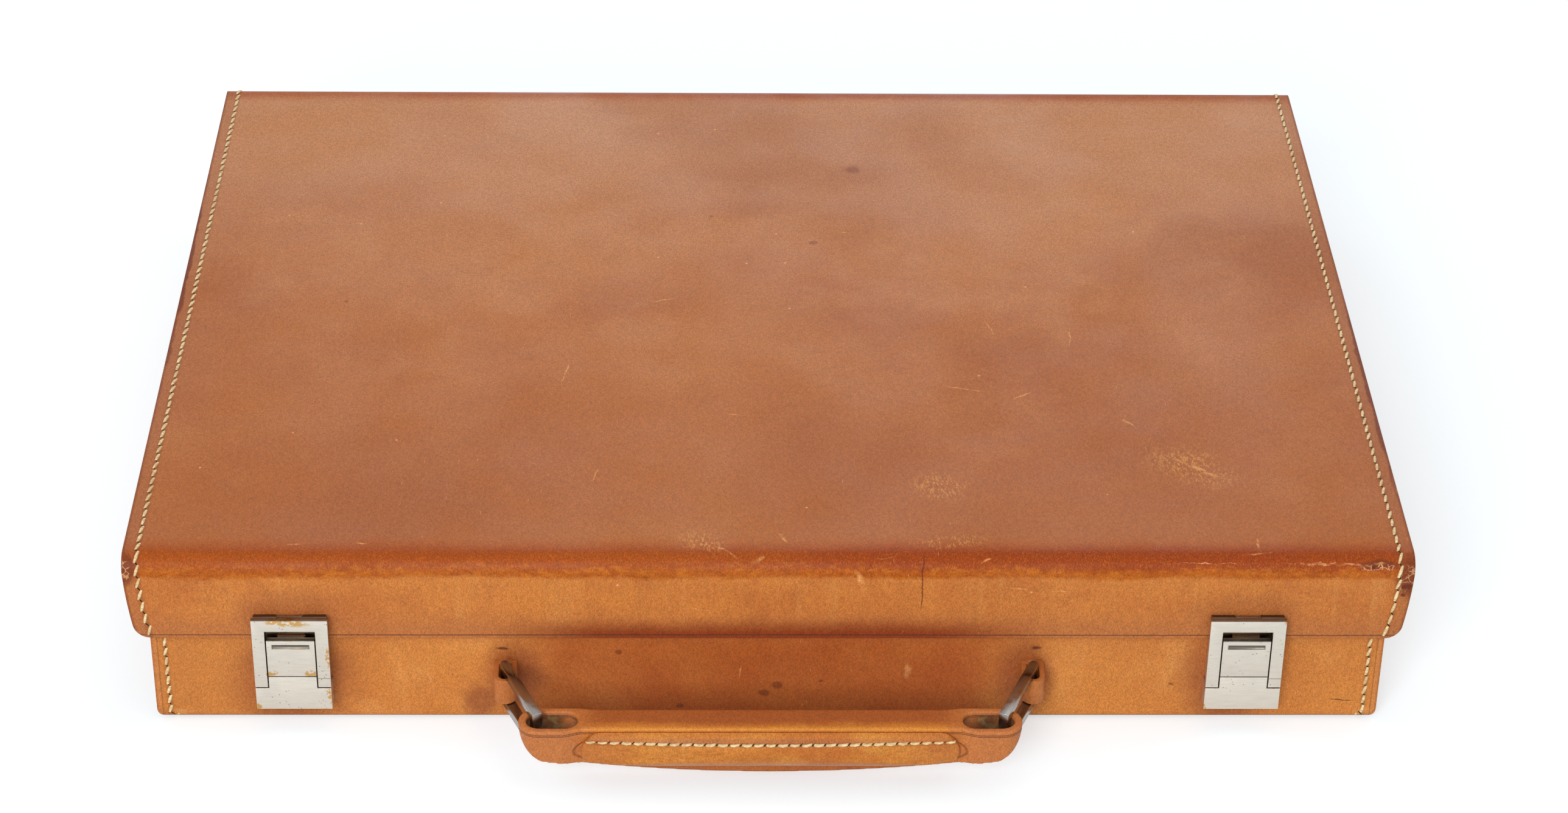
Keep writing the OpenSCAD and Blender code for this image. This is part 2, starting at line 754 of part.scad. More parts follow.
module hinge_leaves_base() color("#c4bdae") hinge_places() hinge_leaf([0, 2, 4]);
module hinge_pins() color("#a89f8e") hinge_places() bar_x(hinge_pin_r, hinge_w - play);
module hinge_screws_base() color("#b8b2a6") hinge_places() screw_places() screw(0);

// The lid

// Wooden shell
module lid_carcass() color("#b98f5e") difference() {
    intersection() {
        translate([0, 0, total_h]) mirror([0, 0, 1]) along_x(2 * (lid_wall_x - panel_t))
            round_foot(lid_front + sheet_t, case_back - sheet_t, sheet_t, total_h - lid_z, lid_board_corner_r);
        block([-lid_wall_x, lid_front, lid_z], [lid_wall_x, case_back, total_h]);
    }
    block([-lid_in_x, lid_front + shell_t, lid_z - lap], [lid_in_x, case_back - shell_t, total_h - shell_t]);
    hinge_room(false);
    latch_places() both_sides(hasp_rivet_x)
        translate([0, lid_front, hasp_rivet_z]) bar_y(rivet_r, shell_t + lap);
}

// Leather sheet that wraps the front, top and back
module lid_wrap() color("#b06a3c") difference() {
    intersection() {
        along_x(lid_w) lid_section(0, 0);
        along_y(lid_d + lap) lid_face();
    }
    along_x(lid_w + lap) lid_section(sheet_t, lap);
    hinge_room(false);
    latch_places() both_sides(hasp_rivet_x)
        translate([0, lid_front - lap, hasp_rivet_z]) bar_y(rivet_r, shell_t);
}

module lid_end_left() color("#b87238") mirror([1, 0, 0]) lid_end();
module lid_end_right() color("#b87238") lid_end();

// Padded suede frame above the lip, level with the base's liner inside
module lid_liner() color("#c9a57a") difference() {
    block([-lid_in_x, lid_front + shell_t, lip_top + shut_gap + lap],
        [lid_in_x, case_back - shell_t, total_h - shell_t]);
    block([-room_x, room_front, lip_top], [room_x, room_back, total_h]);
}

module lid_ceiling_pad() color("#c9a57a")
    block([-room_x, room_front, ceiling_z], [room_x, room_back, total_h - shell_t]);

mirror_y = (room_front + room_back) / 2;
glass_lap = 5;
glass_side = frame_side - glass_lap;

module mirror_frame() color("#a5652f") translate([0, mirror_y, 0]) difference() {
    block([-mirror_w / 2, -mirror_d / 2, ceiling_z - frame_t], [mirror_w / 2, mirror_d / 2, ceiling_z]);
    block([-mirror_w / 2 + frame_side, -mirror_d / 2 + frame_side, 0],
        [mirror_w / 2 - frame_side, mirror_d / 2 - frame_side, total_h]);
    block([-mirror_w / 2 + glass_side, -mirror_d / 2 + glass_side, ceiling_z - glass_t - play],
        [mirror_w / 2 - glass_side, mirror_d / 2 - glass_side, total_h]);
}

module mirror_glass() color("#c9d3d8") translate([0, mirror_y, 0])
    block([-mirror_w / 2 + glass_side + play, -mirror_d / 2 + glass_side + play, ceiling_z - glass_t],
        [mirror_w / 2 - glass_side - play, mirror_d / 2 - glass_side - play, ceiling_z]);

// The hasp plates have holes for their rivets
module riveted_hasp_plate() {
    difference() {
        hasp_plate();
        both_sides(hasp_rivet_x) translate([0, plate_front - lap, hasp_rivet_z]) bar_y(rivet_r, 3 * lap);
    }
}
module hasp_plate_left() color("#d6d0c4") translate([-latch_x, 0, 0]) riveted_hasp_plate();
module hasp_plate_right() color("#d6d0c4") translate([latch_x, 0, 0]) riveted_hasp_plate();

module hasp_pin() {
    translate([0, hasp_axis_y, hasp_axis_z]) bar_x(hasp_pin_r, latch_w - 2 * plate_inset);
}
module hasp_pin_left() color("#b8b2a6") translate([-latch_x, 0, 0]) hasp_pin();
module hasp_pin_right() color("#b8b2a6") translate([latch_x, 0, 0]) hasp_pin();
module hasp_rivets() color("#b08d4a") latch_places()
    both_sides(hasp_rivet_x) translate([0, 0, hasp_rivet_z]) hasp_rivet();

module hinge_leaves_lid() color("#c4bdae") hinge_places() mirror([0, 0, 1]) hinge_leaf([1, 3]);
module hinge_screws_lid() color("#b8b2a6") hinge_places() mirror([0, 0, 1]) screw_places() screw(0);

// Moving hardware
module hasp_left() color("#dcd6ca") translate([-latch_x, 0, 0]) hasp();
module hasp_right() color("#dcd6ca") translate([latch_x, 0, 0]) hasp();
module catch_left() color("#dcd6ca") translate([-latch_x, 0, 0]) catch_flap();
module catch_right() color("#dcd6ca") translate([latch_x, 0, 0]) catch_flap();

module handle_core() color("#b56f35") handle_body();
module handle_grip() color("#c07a35") grip_pad();
module link_left() color("#77706a") translate([-loop_x, link_back, 0]) link();
module link_right() color("#77706a") mirror([1, 0, 0]) translate([-loop_x, link_back, 0]) link();

base_carcass();
base_wrap();
base_end_left();
base_end_right();
base_liner();
base_floor_pad();
lock_plate_left();
lock_plate_right();
catch_pin_left();
catch_pin_right();
catch_spring_left();
catch_spring_right();
lock_rivets();
handle_loop_left();
handle_loop_right();
loop_rivets();
hinge_leaves_base();
hinge_pins();
hinge_screws_base();
lid_carcass();
lid_wrap();
lid_end_left();
lid_end_right();
lid_liner();
lid_ceiling_pad();
mirror_frame();
mirror_glass();
hasp_plate_left();
hasp_plate_right();
hasp_pin_left();
hasp_pin_right();
hasp_rivets();
hinge_leaves_lid();
hinge_screws_lid();
hasp_left();
hasp_right();
catch_left();
catch_right();
handle_core();
handle_grip();
link_left();
link_right();
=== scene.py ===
import bpy, bmesh, math, random
from mathutils import Matrix, Vector


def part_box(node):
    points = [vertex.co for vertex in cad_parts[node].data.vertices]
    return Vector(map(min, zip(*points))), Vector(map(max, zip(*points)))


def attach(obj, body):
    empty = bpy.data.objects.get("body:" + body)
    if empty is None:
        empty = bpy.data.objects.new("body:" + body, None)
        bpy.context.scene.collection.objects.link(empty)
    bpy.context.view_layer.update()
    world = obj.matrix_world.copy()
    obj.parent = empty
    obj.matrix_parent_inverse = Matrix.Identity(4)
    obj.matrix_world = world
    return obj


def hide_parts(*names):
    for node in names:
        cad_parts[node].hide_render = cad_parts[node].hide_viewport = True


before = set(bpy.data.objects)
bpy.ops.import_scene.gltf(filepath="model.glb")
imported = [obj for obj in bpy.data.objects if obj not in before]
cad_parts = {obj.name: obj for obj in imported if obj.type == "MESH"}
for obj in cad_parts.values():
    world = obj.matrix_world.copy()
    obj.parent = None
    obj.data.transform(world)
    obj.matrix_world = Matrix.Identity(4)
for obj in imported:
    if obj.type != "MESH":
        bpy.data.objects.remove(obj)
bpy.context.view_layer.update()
bpy.ops.object.select_all(action="DESELECT")
random.seed(7)
mm = 0.001

# Camera, at the photograph's angle: from the front and a third of the way up, through a long lens.
camera_place, camera_lens = (-0.0231, -1.20074, 0.79959), 85.47
heading, dip, roll = -1.485, 32.936, 0.918
bpy.ops.object.camera_add(location=camera_place)
camera = bpy.context.object
camera.name = "camera"
turn = Matrix.Rotation(math.radians(heading), 4, "Z") @ Matrix.Rotation(math.radians(90 - dip), 4, "X")
camera.rotation_euler = (turn @ Matrix.Rotation(math.radians(roll), 4, "Z")).to_euler()
camera.data.sensor_width = 36
camera.data.lens = camera_lens
camera.data.clip_end = 50
bpy.context.scene.camera = camera
bpy.context.scene.view_settings.view_transform = "Standard"

# Studio: a white floor under a pale sky, a large soft lamp in front, a low one behind that grazes
# the lid, and a weak one overhead. The camera and mirrored rays see plain white, not the dimmer sky.
sky_power, floor_paint_colour, floor_glow = 0.5, (0.64, 0.71, 0.75, 1), 0.48
world = bpy.data.worlds.new("studio_sky")
bpy.context.scene.world = world
world.use_nodes = True
sky = world.node_tree
sky.nodes.clear()
sky_out = sky.nodes.new("ShaderNodeOutputWorld")
sky_ray = sky.nodes.new("ShaderNodeLightPath")
sky_seen = sky_ray.outputs["Is Camera Ray"]
for ray in ("Is Glossy Ray", "Is Transmission Ray"):
    either = sky.nodes.new("ShaderNodeMath")
    either.operation = "MAXIMUM"
    sky.links.new(sky_seen, either.inputs[0])
    sky.links.new(sky_ray.outputs[ray], either.inputs[1])
    sky_seen = either.outputs[0]
sky_mix = sky.nodes.new("ShaderNodeMixShader")
sky.links.new(sky_seen, sky_mix.inputs[0])
for socket, strength in ((1, sky_power), (2, 1.0)):
    glow = sky.nodes.new("ShaderNodeBackground")
    glow.inputs["Color"].default_value = (1, 1, 1, 1)
    glow.inputs["Strength"].default_value = strength
    sky.links.new(glow.outputs[0], sky_mix.inputs[socket])
sky.links.new(sky_mix.outputs[0], sky_out.inputs["Surface"])

bpy.ops.mesh.primitive_plane_add(size=12, location=(0, 0, -0.0003))
floor = bpy.context.object
floor.name = "floor"
floor_paint = bpy.data.materials.new("floor_paint")
floor_paint.use_nodes = True
paint = floor_paint.node_tree
paint.nodes.clear()
paint_out = paint.nodes.new("ShaderNodeOutputMaterial")
paint_ray = paint.nodes.new("ShaderNodeLightPath")
paint_white = paint.nodes.new("ShaderNodeBsdfDiffuse")
paint_white.inputs["Color"].default_value = floor_paint_colour
paint_glow = paint.nodes.new("ShaderNodeEmission")
paint_seen = paint.nodes.new("ShaderNodeMath")
paint_seen.operation = "MAXIMUM"
paint.links.new(paint_ray.outputs["Is Camera Ray"], paint_seen.inputs[0])
paint.links.new(paint_ray.outputs["Is Glossy Ray"], paint_seen.inputs[1])
paint_level = paint.nodes.new("ShaderNodeMath")
paint_level.operation = "MULTIPLY"
paint_level.inputs[1].default_value = floor_glow
paint.links.new(paint_seen.outputs[0], paint_level.inputs[0])
paint.links.new(paint_level.outputs[0], paint_glow.inputs["Strength"])
paint_add = paint.nodes.new("ShaderNodeAddShader")
paint.links.new(paint_white.outputs[0], paint_add.inputs[0])
paint.links.new(paint_glow.outputs[0], paint_add.inputs[1])
paint.links.new(paint_add.outputs[0], paint_out.inputs["Surface"])
floor.data.materials.append(floor_paint)

for name, place, size, power in (
        ("front_lamp", (-0.5, -2.0, 1.15), 1.1, 31),
        ("back_lamp", (0.15, 2.3, 0.75), 1.2, 9),
        ("top_lamp", (0.3, 0.2, 2.2), 1.6, 5)):
    bpy.ops.object.light_add(type="AREA", location=place)
    lamp = bpy.context.object
    lamp.name = name
    lamp.data.size = size
    lamp.data.energy = power
    lamp.rotation_euler = (Vector((0, 0, 0.03)) - Vector(place)).to_track_quat("-Z", "Y").to_euler()


# Lid: one sheet of smooth vegetable tanned leather, 2.4 mm thick, bent over the front, top and back.
# Its edges are dressed and burnished, its sides bow in to round corners at the rim, and years of
# handling have darkened and crackled the bends.
class Finish:
    """A material in the making: each method adds nodes to it and hands back their output."""

    def __init__(self, name):
        self.made = bpy.data.materials.new(name)
        self.made.use_nodes = True
        self.tree = self.made.node_tree
        self.shader = self.tree.nodes["Principled BSDF"].inputs
        self.where = self.tree.nodes.new("ShaderNodeTexCoord").outputs["Object"]
        parts = self.tree.nodes.new("ShaderNodeSeparateXYZ")
        self.tree.links.new(self.where, parts.inputs[0])
        self.x, self.y, self.z = parts.outputs

    def plug(self, value, socket):
        if isinstance(value, bpy.types.NodeSocket):
            self.tree.links.new(value, socket)
        elif socket.type == "RGBA":
            socket.default_value = (*value, 1)
        else:
            socket.default_value = value

    def calc(self, operation, a, b=0.0):
        node = self.tree.nodes.new("ShaderNodeMath")
        node.operation = operation
        self.plug(a, node.inputs[0])
        self.plug(b, node.inputs[1])
        return node.outputs[0]

    def times(self, a, *others):
        for b in others:
            a = self.calc("MULTIPLY", a, b)
        return a

    def ramp(self, value, low, high, start=0.0, end=1.0):
        node = self.tree.nodes.new("ShaderNodeMapRange")
        node.interpolation_type = "SMOOTHSTEP"
        for socket, v in zip(node.inputs, (value, low, high, start, end)):
            self.plug(v, socket)
        return node.outputs[0]

    def near(self, value, place, inner, outer, strength=1.0):
        """A mask that fades with the distance from a place, as along a crease or a seam."""
        away = self.calc("ABSOLUTE", self.calc("SUBTRACT", value, place))
        return self.ramp(away, inner, outer, strength, 0)

    def blend(self, share, a, b, kind="MIX"):
        node = self.tree.nodes.new("ShaderNodeMix")
        node.data_type = "RGBA"
        node.blend_type = kind
        for socket, v in ((node.inputs[0], share), (node.inputs[6], a), (node.inputs[7], b)):
            self.plug(v, socket)
        return node.outputs[2]

    def drawn(self, scale, turned=(0, 0, 0)):
        node = self.tree.nodes.new("ShaderNodeMapping")
        self.plug(self.where, node.inputs["Vector"])
        node.inputs["Rotation"].default_value = turned
        node.inputs["Scale"].default_value = scale
        return node.outputs[0]

    def noise(self, scale, detail=3.0, rough=0.55, warp=0.0, at=None, output="Fac"):
        node = self.tree.nodes.new("ShaderNodeTexNoise")
        for key, v in (("Vector", at or self.where), ("Scale", scale), ("Detail", detail),
                       ("Roughness", rough), ("Distortion", warp)):
            self.plug(v, node.inputs[key])
        return node.outputs[output]

    def wander(self, scale, amount, rough=0.6):
        """Noise to either side of zero, which makes a line uneven."""
        return self.times(self.calc("SUBTRACT", self.noise(scale, 4, rough), 0.5), amount)

    def cells(self, scale, feature="F1", at=None):
        node = self.tree.nodes.new("ShaderNodeTexVoronoi")
        node.feature = feature
        self.plug(at or self.where, node.inputs["Vector"])
        node.inputs["Scale"].default_value = scale
        return node.outputs["Distance"]

    def ragged(self, scale, amount):
        """The place, pushed about by noise, so that a mark gets an uneven outline."""
        push = self.tree.nodes.new("ShaderNodeVectorMath")
        push.operation = "MULTIPLY_ADD"
        self.plug(self.noise(scale, 3, 0.6, output="Color"), push.inputs[0])
        push.inputs[1].default_value = (amount, amount, amount)
        centred = self.tree.nodes.new("ShaderNodeVectorMath")
        centred.operation = "SUBTRACT"
        self.plug(self.where, centred.inputs[0])
        centred.inputs[1].default_value = (amount / 2, amount / 2, amount / 2)
        self.plug(centred.outputs[0], push.inputs[2])
        return push.outputs[0]

    def reach(self, centre, size, turned=(0, 0, 0), at=None):
        """How far a point lies from a mark's centre, with 1 on its outline, from millimetres and degrees."""
        node = self.tree.nodes.new("ShaderNodeMapping")
        node.vector_type = "TEXTURE"
        self.plug(at or self.where, node.inputs["Vector"])
        node.inputs["Location"].default_value = [v * mm for v in centre]
        node.inputs["Rotation"].default_value = [math.radians(v) for v in turned]
        node.inputs["Scale"].default_value = [v * mm for v in size]
        far = self.tree.nodes.new("ShaderNodeVectorMath")
        far.operation = "LENGTH"
        self.plug(node.outputs[0], far.inputs[0])
        return far.outputs["Value"]

    def marks(self, rows, at=None, soft=0.5):
        """One mask of several marks, each given by its centre, its half sizes and often its turn."""
        mask = None
        for centre, size, *turned in rows:
            spot = self.ramp(self.reach(centre, size, *turned, at=at), 1 - soft, 1, 1, 0)
            mask = self.calc("MAXIMUM", mask, spot) if mask else spot
        return mask

    def bump(self, height, strength, distance, under=None):
        node = self.tree.nodes.new("ShaderNodeBump")
        node.inputs["Strength"].default_value = strength
        node.inputs["Distance"].default_value = distance
        self.plug(height, node.inputs["Height"])
        if under:
            self.plug(under, node.inputs["Normal"])
        return node.outputs[0]


def dye(red, green, blue):
    """A colour as it looks in plain light, from its 0 to 255 values."""
    return tuple(round((v / 255) ** 2.2, 4) for v in (red, green, blue))


def tanned(name, base, dark, light, rough=0.5, grain=1.0, wear=None, creases=None):
    """Tanned leather: mottled dye, fine grain, hair pores and hairline scratches, with a piece's own wear
    and, on some pieces, painted light and shade.
    """
    f = Finish(name)
    skin = f.blend(f.ramp(f.noise(9, 3, 0.55, 0.2), 0.4, 0.66), base, dark)
    skin = f.blend(f.ramp(f.noise(38, 4, 0.6, 0.3), 0.48, 0.7, 0, 0.45), skin, light)
    skin = f.blend(f.ramp(f.noise(27, 4, 0.6, 0.3), 0.46, 0.3, 0, 0.45), skin, dark)
    streaks = f.noise(1, 3, 0.6, at=f.drawn((75, 14, 14)))
    skin = f.blend(f.ramp(streaks, 0.56, 0.74, 0, 0.3), skin, light)
    # A piece's own wear, and on some pieces painted highlights, sheen and shade, laid over the dye.
    if wear:
        skin = wear(f, skin)
    fine = f.noise(1, 3, 0.6, at=f.drawn((2400, 1500, 1500), (0.5, 0.5, 0.6)))
    skin = f.blend(1.0, skin, f.ramp(fine, 0.34, 0.66, 1 + 0.17 * grain, 1 - 0.2 * grain), "MULTIPLY")
    coarse = f.noise(1, 3, 0.6, at=f.drawn((900, 560, 560), (0.3, 0.6, 0.5)))
    skin = f.blend(1.0, skin, f.ramp(coarse, 0.36, 0.66, 1 + 0.05 * grain, 1 - 0.08 * grain), "MULTIPLY")
    pores = f.ramp(f.cells(1, at=f.drawn((1000, 800, 560), (0.3, 0.5, 0.2))), 0.1, 0.24, 1, 0)
    pores = f.times(pores, f.ramp(f.noise(150, 2), 0.42, 0.6, 0, 0.7 * grain))
    skin = f.blend(pores, skin, (0.66, 0.5, 0.42), "MULTIPLY")
    for turned in (0.5, -0.35, 1.3):
        nicks = f.ramp(f.cells(1, at=f.drawn((420, 34, 60), (0, 0.2, turned))), 0.03, 0.055, 1, 0)
        nicks = f.times(nicks, f.ramp(f.noise(13, 2), 0.48, 0.62, 0, 0.6))
        skin = f.blend(nicks, skin, tuple(min(1, v * 1.25 + 0.05) for v in light))
    specks = f.ramp(f.cells(58), 0.022, 0.034, 0.7, 0)
    skin = f.blend(specks, skin, tuple(min(1, v * 1.4 + 0.1) for v in light))
    f.plug(skin, f.shader["Base Color"])
    f.plug(f.ramp(f.noise(24, 4), 0.3, 0.7, rough - 0.07, rough + 0.09), f.shader["Roughness"])
    swell = f.bump(f.noise(60, 3), 0.22, 0.0012)
    cells = f.cells(1, "SMOOTH_F1", f.drawn((2200, 1500, 1500), (0.4, 0.5, 0.6)))
    surface = f.bump(f.calc("ADD", cells, fine), 0.22 * grain, 0.0003, swell)
    if creases:
        surface = f.bump(f.times(creases(f), -1), 0.8, 0.0004, surface)
    f.plug(surface, f.shader["Normal"])
    f.shader["Specular IOR Level"].default_value = 0.2
    return f.made


def finish_piece(piece, body, slot, materials, *nodes):
    """Gives a modelled piece its materials and smooth faces, and puts it in its place in the frame."""
    bpy.ops.object.select_all(action="DESELECT")
    piece.select_set(True)
    bpy.context.view_layer.objects.active = piece
    bpy.ops.object.transform_apply(location=True, rotation=True, scale=True)
    patches = [face.material_index for face in piece.data.polygons]
    piece.data.materials.clear()
    for material in materials:
        piece.data.materials.append(material)
    for face, patch in zip(piece.data.polygons, patches):
        face.material_index = min(patch, len(materials) - 1)
    bpy.ops.object.shade_smooth_by_angle(angle=math.radians(40))
    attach(piece, body)
    if nodes:
        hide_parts(*nodes)
    piece.select_set(False)
    return piece


def bent_sheet(name, width, front, back, low, high, bend_r, open_up, thick, side_x, rows):
    """A box without its ends and one broad side, its long edges bent round and its walls made thick."""
    bpy.ops.mesh.primitive_cube_add(size=1, location=(0, (front + back) / 2, (low + high) / 2))
    sheet = bpy.context.object
    sheet.name = name
    sheet.scale = (width, back - front, high - low)
    bpy.ops.object.transform_apply(location=True, rotation=True, scale=True)
    sheet.data.materials.append(None)
    sheet.data.materials.append(None)
    bpy.ops.object.mode_set(mode="EDIT")
    bm = bmesh.from_edit_mesh(sheet.data)
    for face in bm.faces:
        z = face.normal.z if open_up else -face.normal.z
        face.select = abs(face.normal.x) > 0.5 or z > 0.5
    bmesh.update_edit_mesh(sheet.data)
    bpy.ops.mesh.delete(type="FACE")
    bm = bmesh.from_edit_mesh(sheet.data)
    broad = low if open_up else high
    for edge in bm.edges:
        level = all(abs(v.co.z - broad) < 1e-5 for v in edge.verts)
        edge.select = level and abs(edge.verts[0].co.x - edge.verts[1].co.x) > width / 2
    bmesh.update_edit_mesh(sheet.data)
    bpy.ops.mesh.bevel(offset=bend_r, segments=10, affect="EDGES", offset_type="OFFSET")
    for z in rows:
        bpy.ops.mesh.select_all(action="SELECT")
        bpy.ops.mesh.bisect(plane_co=(0, 0, z), plane_no=(0, 0, 1), use_fill=False)
    across, deep = 60, 40
    for i in range(1, across):
        cut_x = -width / 2 + width * i / across
        bpy.ops.mesh.select_all(action="SELECT")
        bpy.ops.mesh.bisect(plane_co=(cut_x, 0, 0), plane_no=(1, 0, 0), use_fill=False)
    for i in range(1, deep):
        cut_y = front + (back - front) * i / deep
        bpy.ops.mesh.select_all(action="SELECT")
        bpy.ops.mesh.bisect(plane_co=(0, cut_y, 0), plane_no=(0, 1, 0), use_fill=False)
    bm = bmesh.from_edit_mesh(sheet.data)
    for v in bm.verts:
        v.co.x *= side_x(v.co.z) / (width / 2)
    bmesh.update_edit_mesh(sheet.data)
    bpy.ops.object.mode_set(mode="OBJECT")
    wall = sheet.modifiers.new("wall", "SOLIDIFY")
    wall.thickness = thick
    wall.offset = -1
    wall.material_offset_rim = 1
    bpy.ops.object.modifier_apply(modifier="wall")
    dressed = sheet.modifiers.new("dressed_edge", "BEVEL")
    dressed.width = 0.7 * mm
    dressed.segments = 3
    dressed.limit_method = "ANGLE"
    dressed.angle_limit = math.radians(60)
    bpy.ops.object.modifier_apply(modifier="dressed_edge")
    return sheet


(lid_left, lid_front, lid_low), (lid_right, lid_back, lid_top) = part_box("lid_wrap")
lid_w = lid_right - lid_left
lid_bend_r, lid_bow_r, lid_corner_r, sheet_t = 6.5 * mm, 180 * mm, 6 * mm, 2.4 * mm
lid_bow_x = lid_w / 2 - lid_bow_r
lid_seam, base_seam = 5 * mm, 4.8 * mm


def lid_side(z):
    """Half the lid's width at a height: its sides bow, and its lower corners are round."""
    x = lid_bow_x + math.sqrt(lid_bow_r ** 2 - (lid_top - z) ** 2)
    corner_z = lid_low + lid_corner_r
    if z < corner_z:
        corner_x = lid_bow_x + math.sqrt((lid_bow_r - lid_corner_r) ** 2 - (lid_top - corner_z) ** 2)
        x = min(x, corner_x + math.sqrt(max(lid_corner_r ** 2 - (corner_z - z) ** 2, 0)))
    return x


def lid_inset(f):
    """How far a point of the lid lies inside its bowed side."""
    drop = f.calc("SUBTRACT", lid_top, f.z)
    bow = f.calc("SQRT", f.calc("SUBTRACT", lid_bow_r ** 2, f.times(drop, drop)))
    return f.calc("SUBTRACT", f.calc("ADD", bow, lid_bow_x), f.calc("ABSOLUTE", f.x))


def lid_creases(f):
    """The creased line along the rim."""
    return f.near(f.z, lid_low + 1.2 * mm, 0, 0.35 * mm, 1)


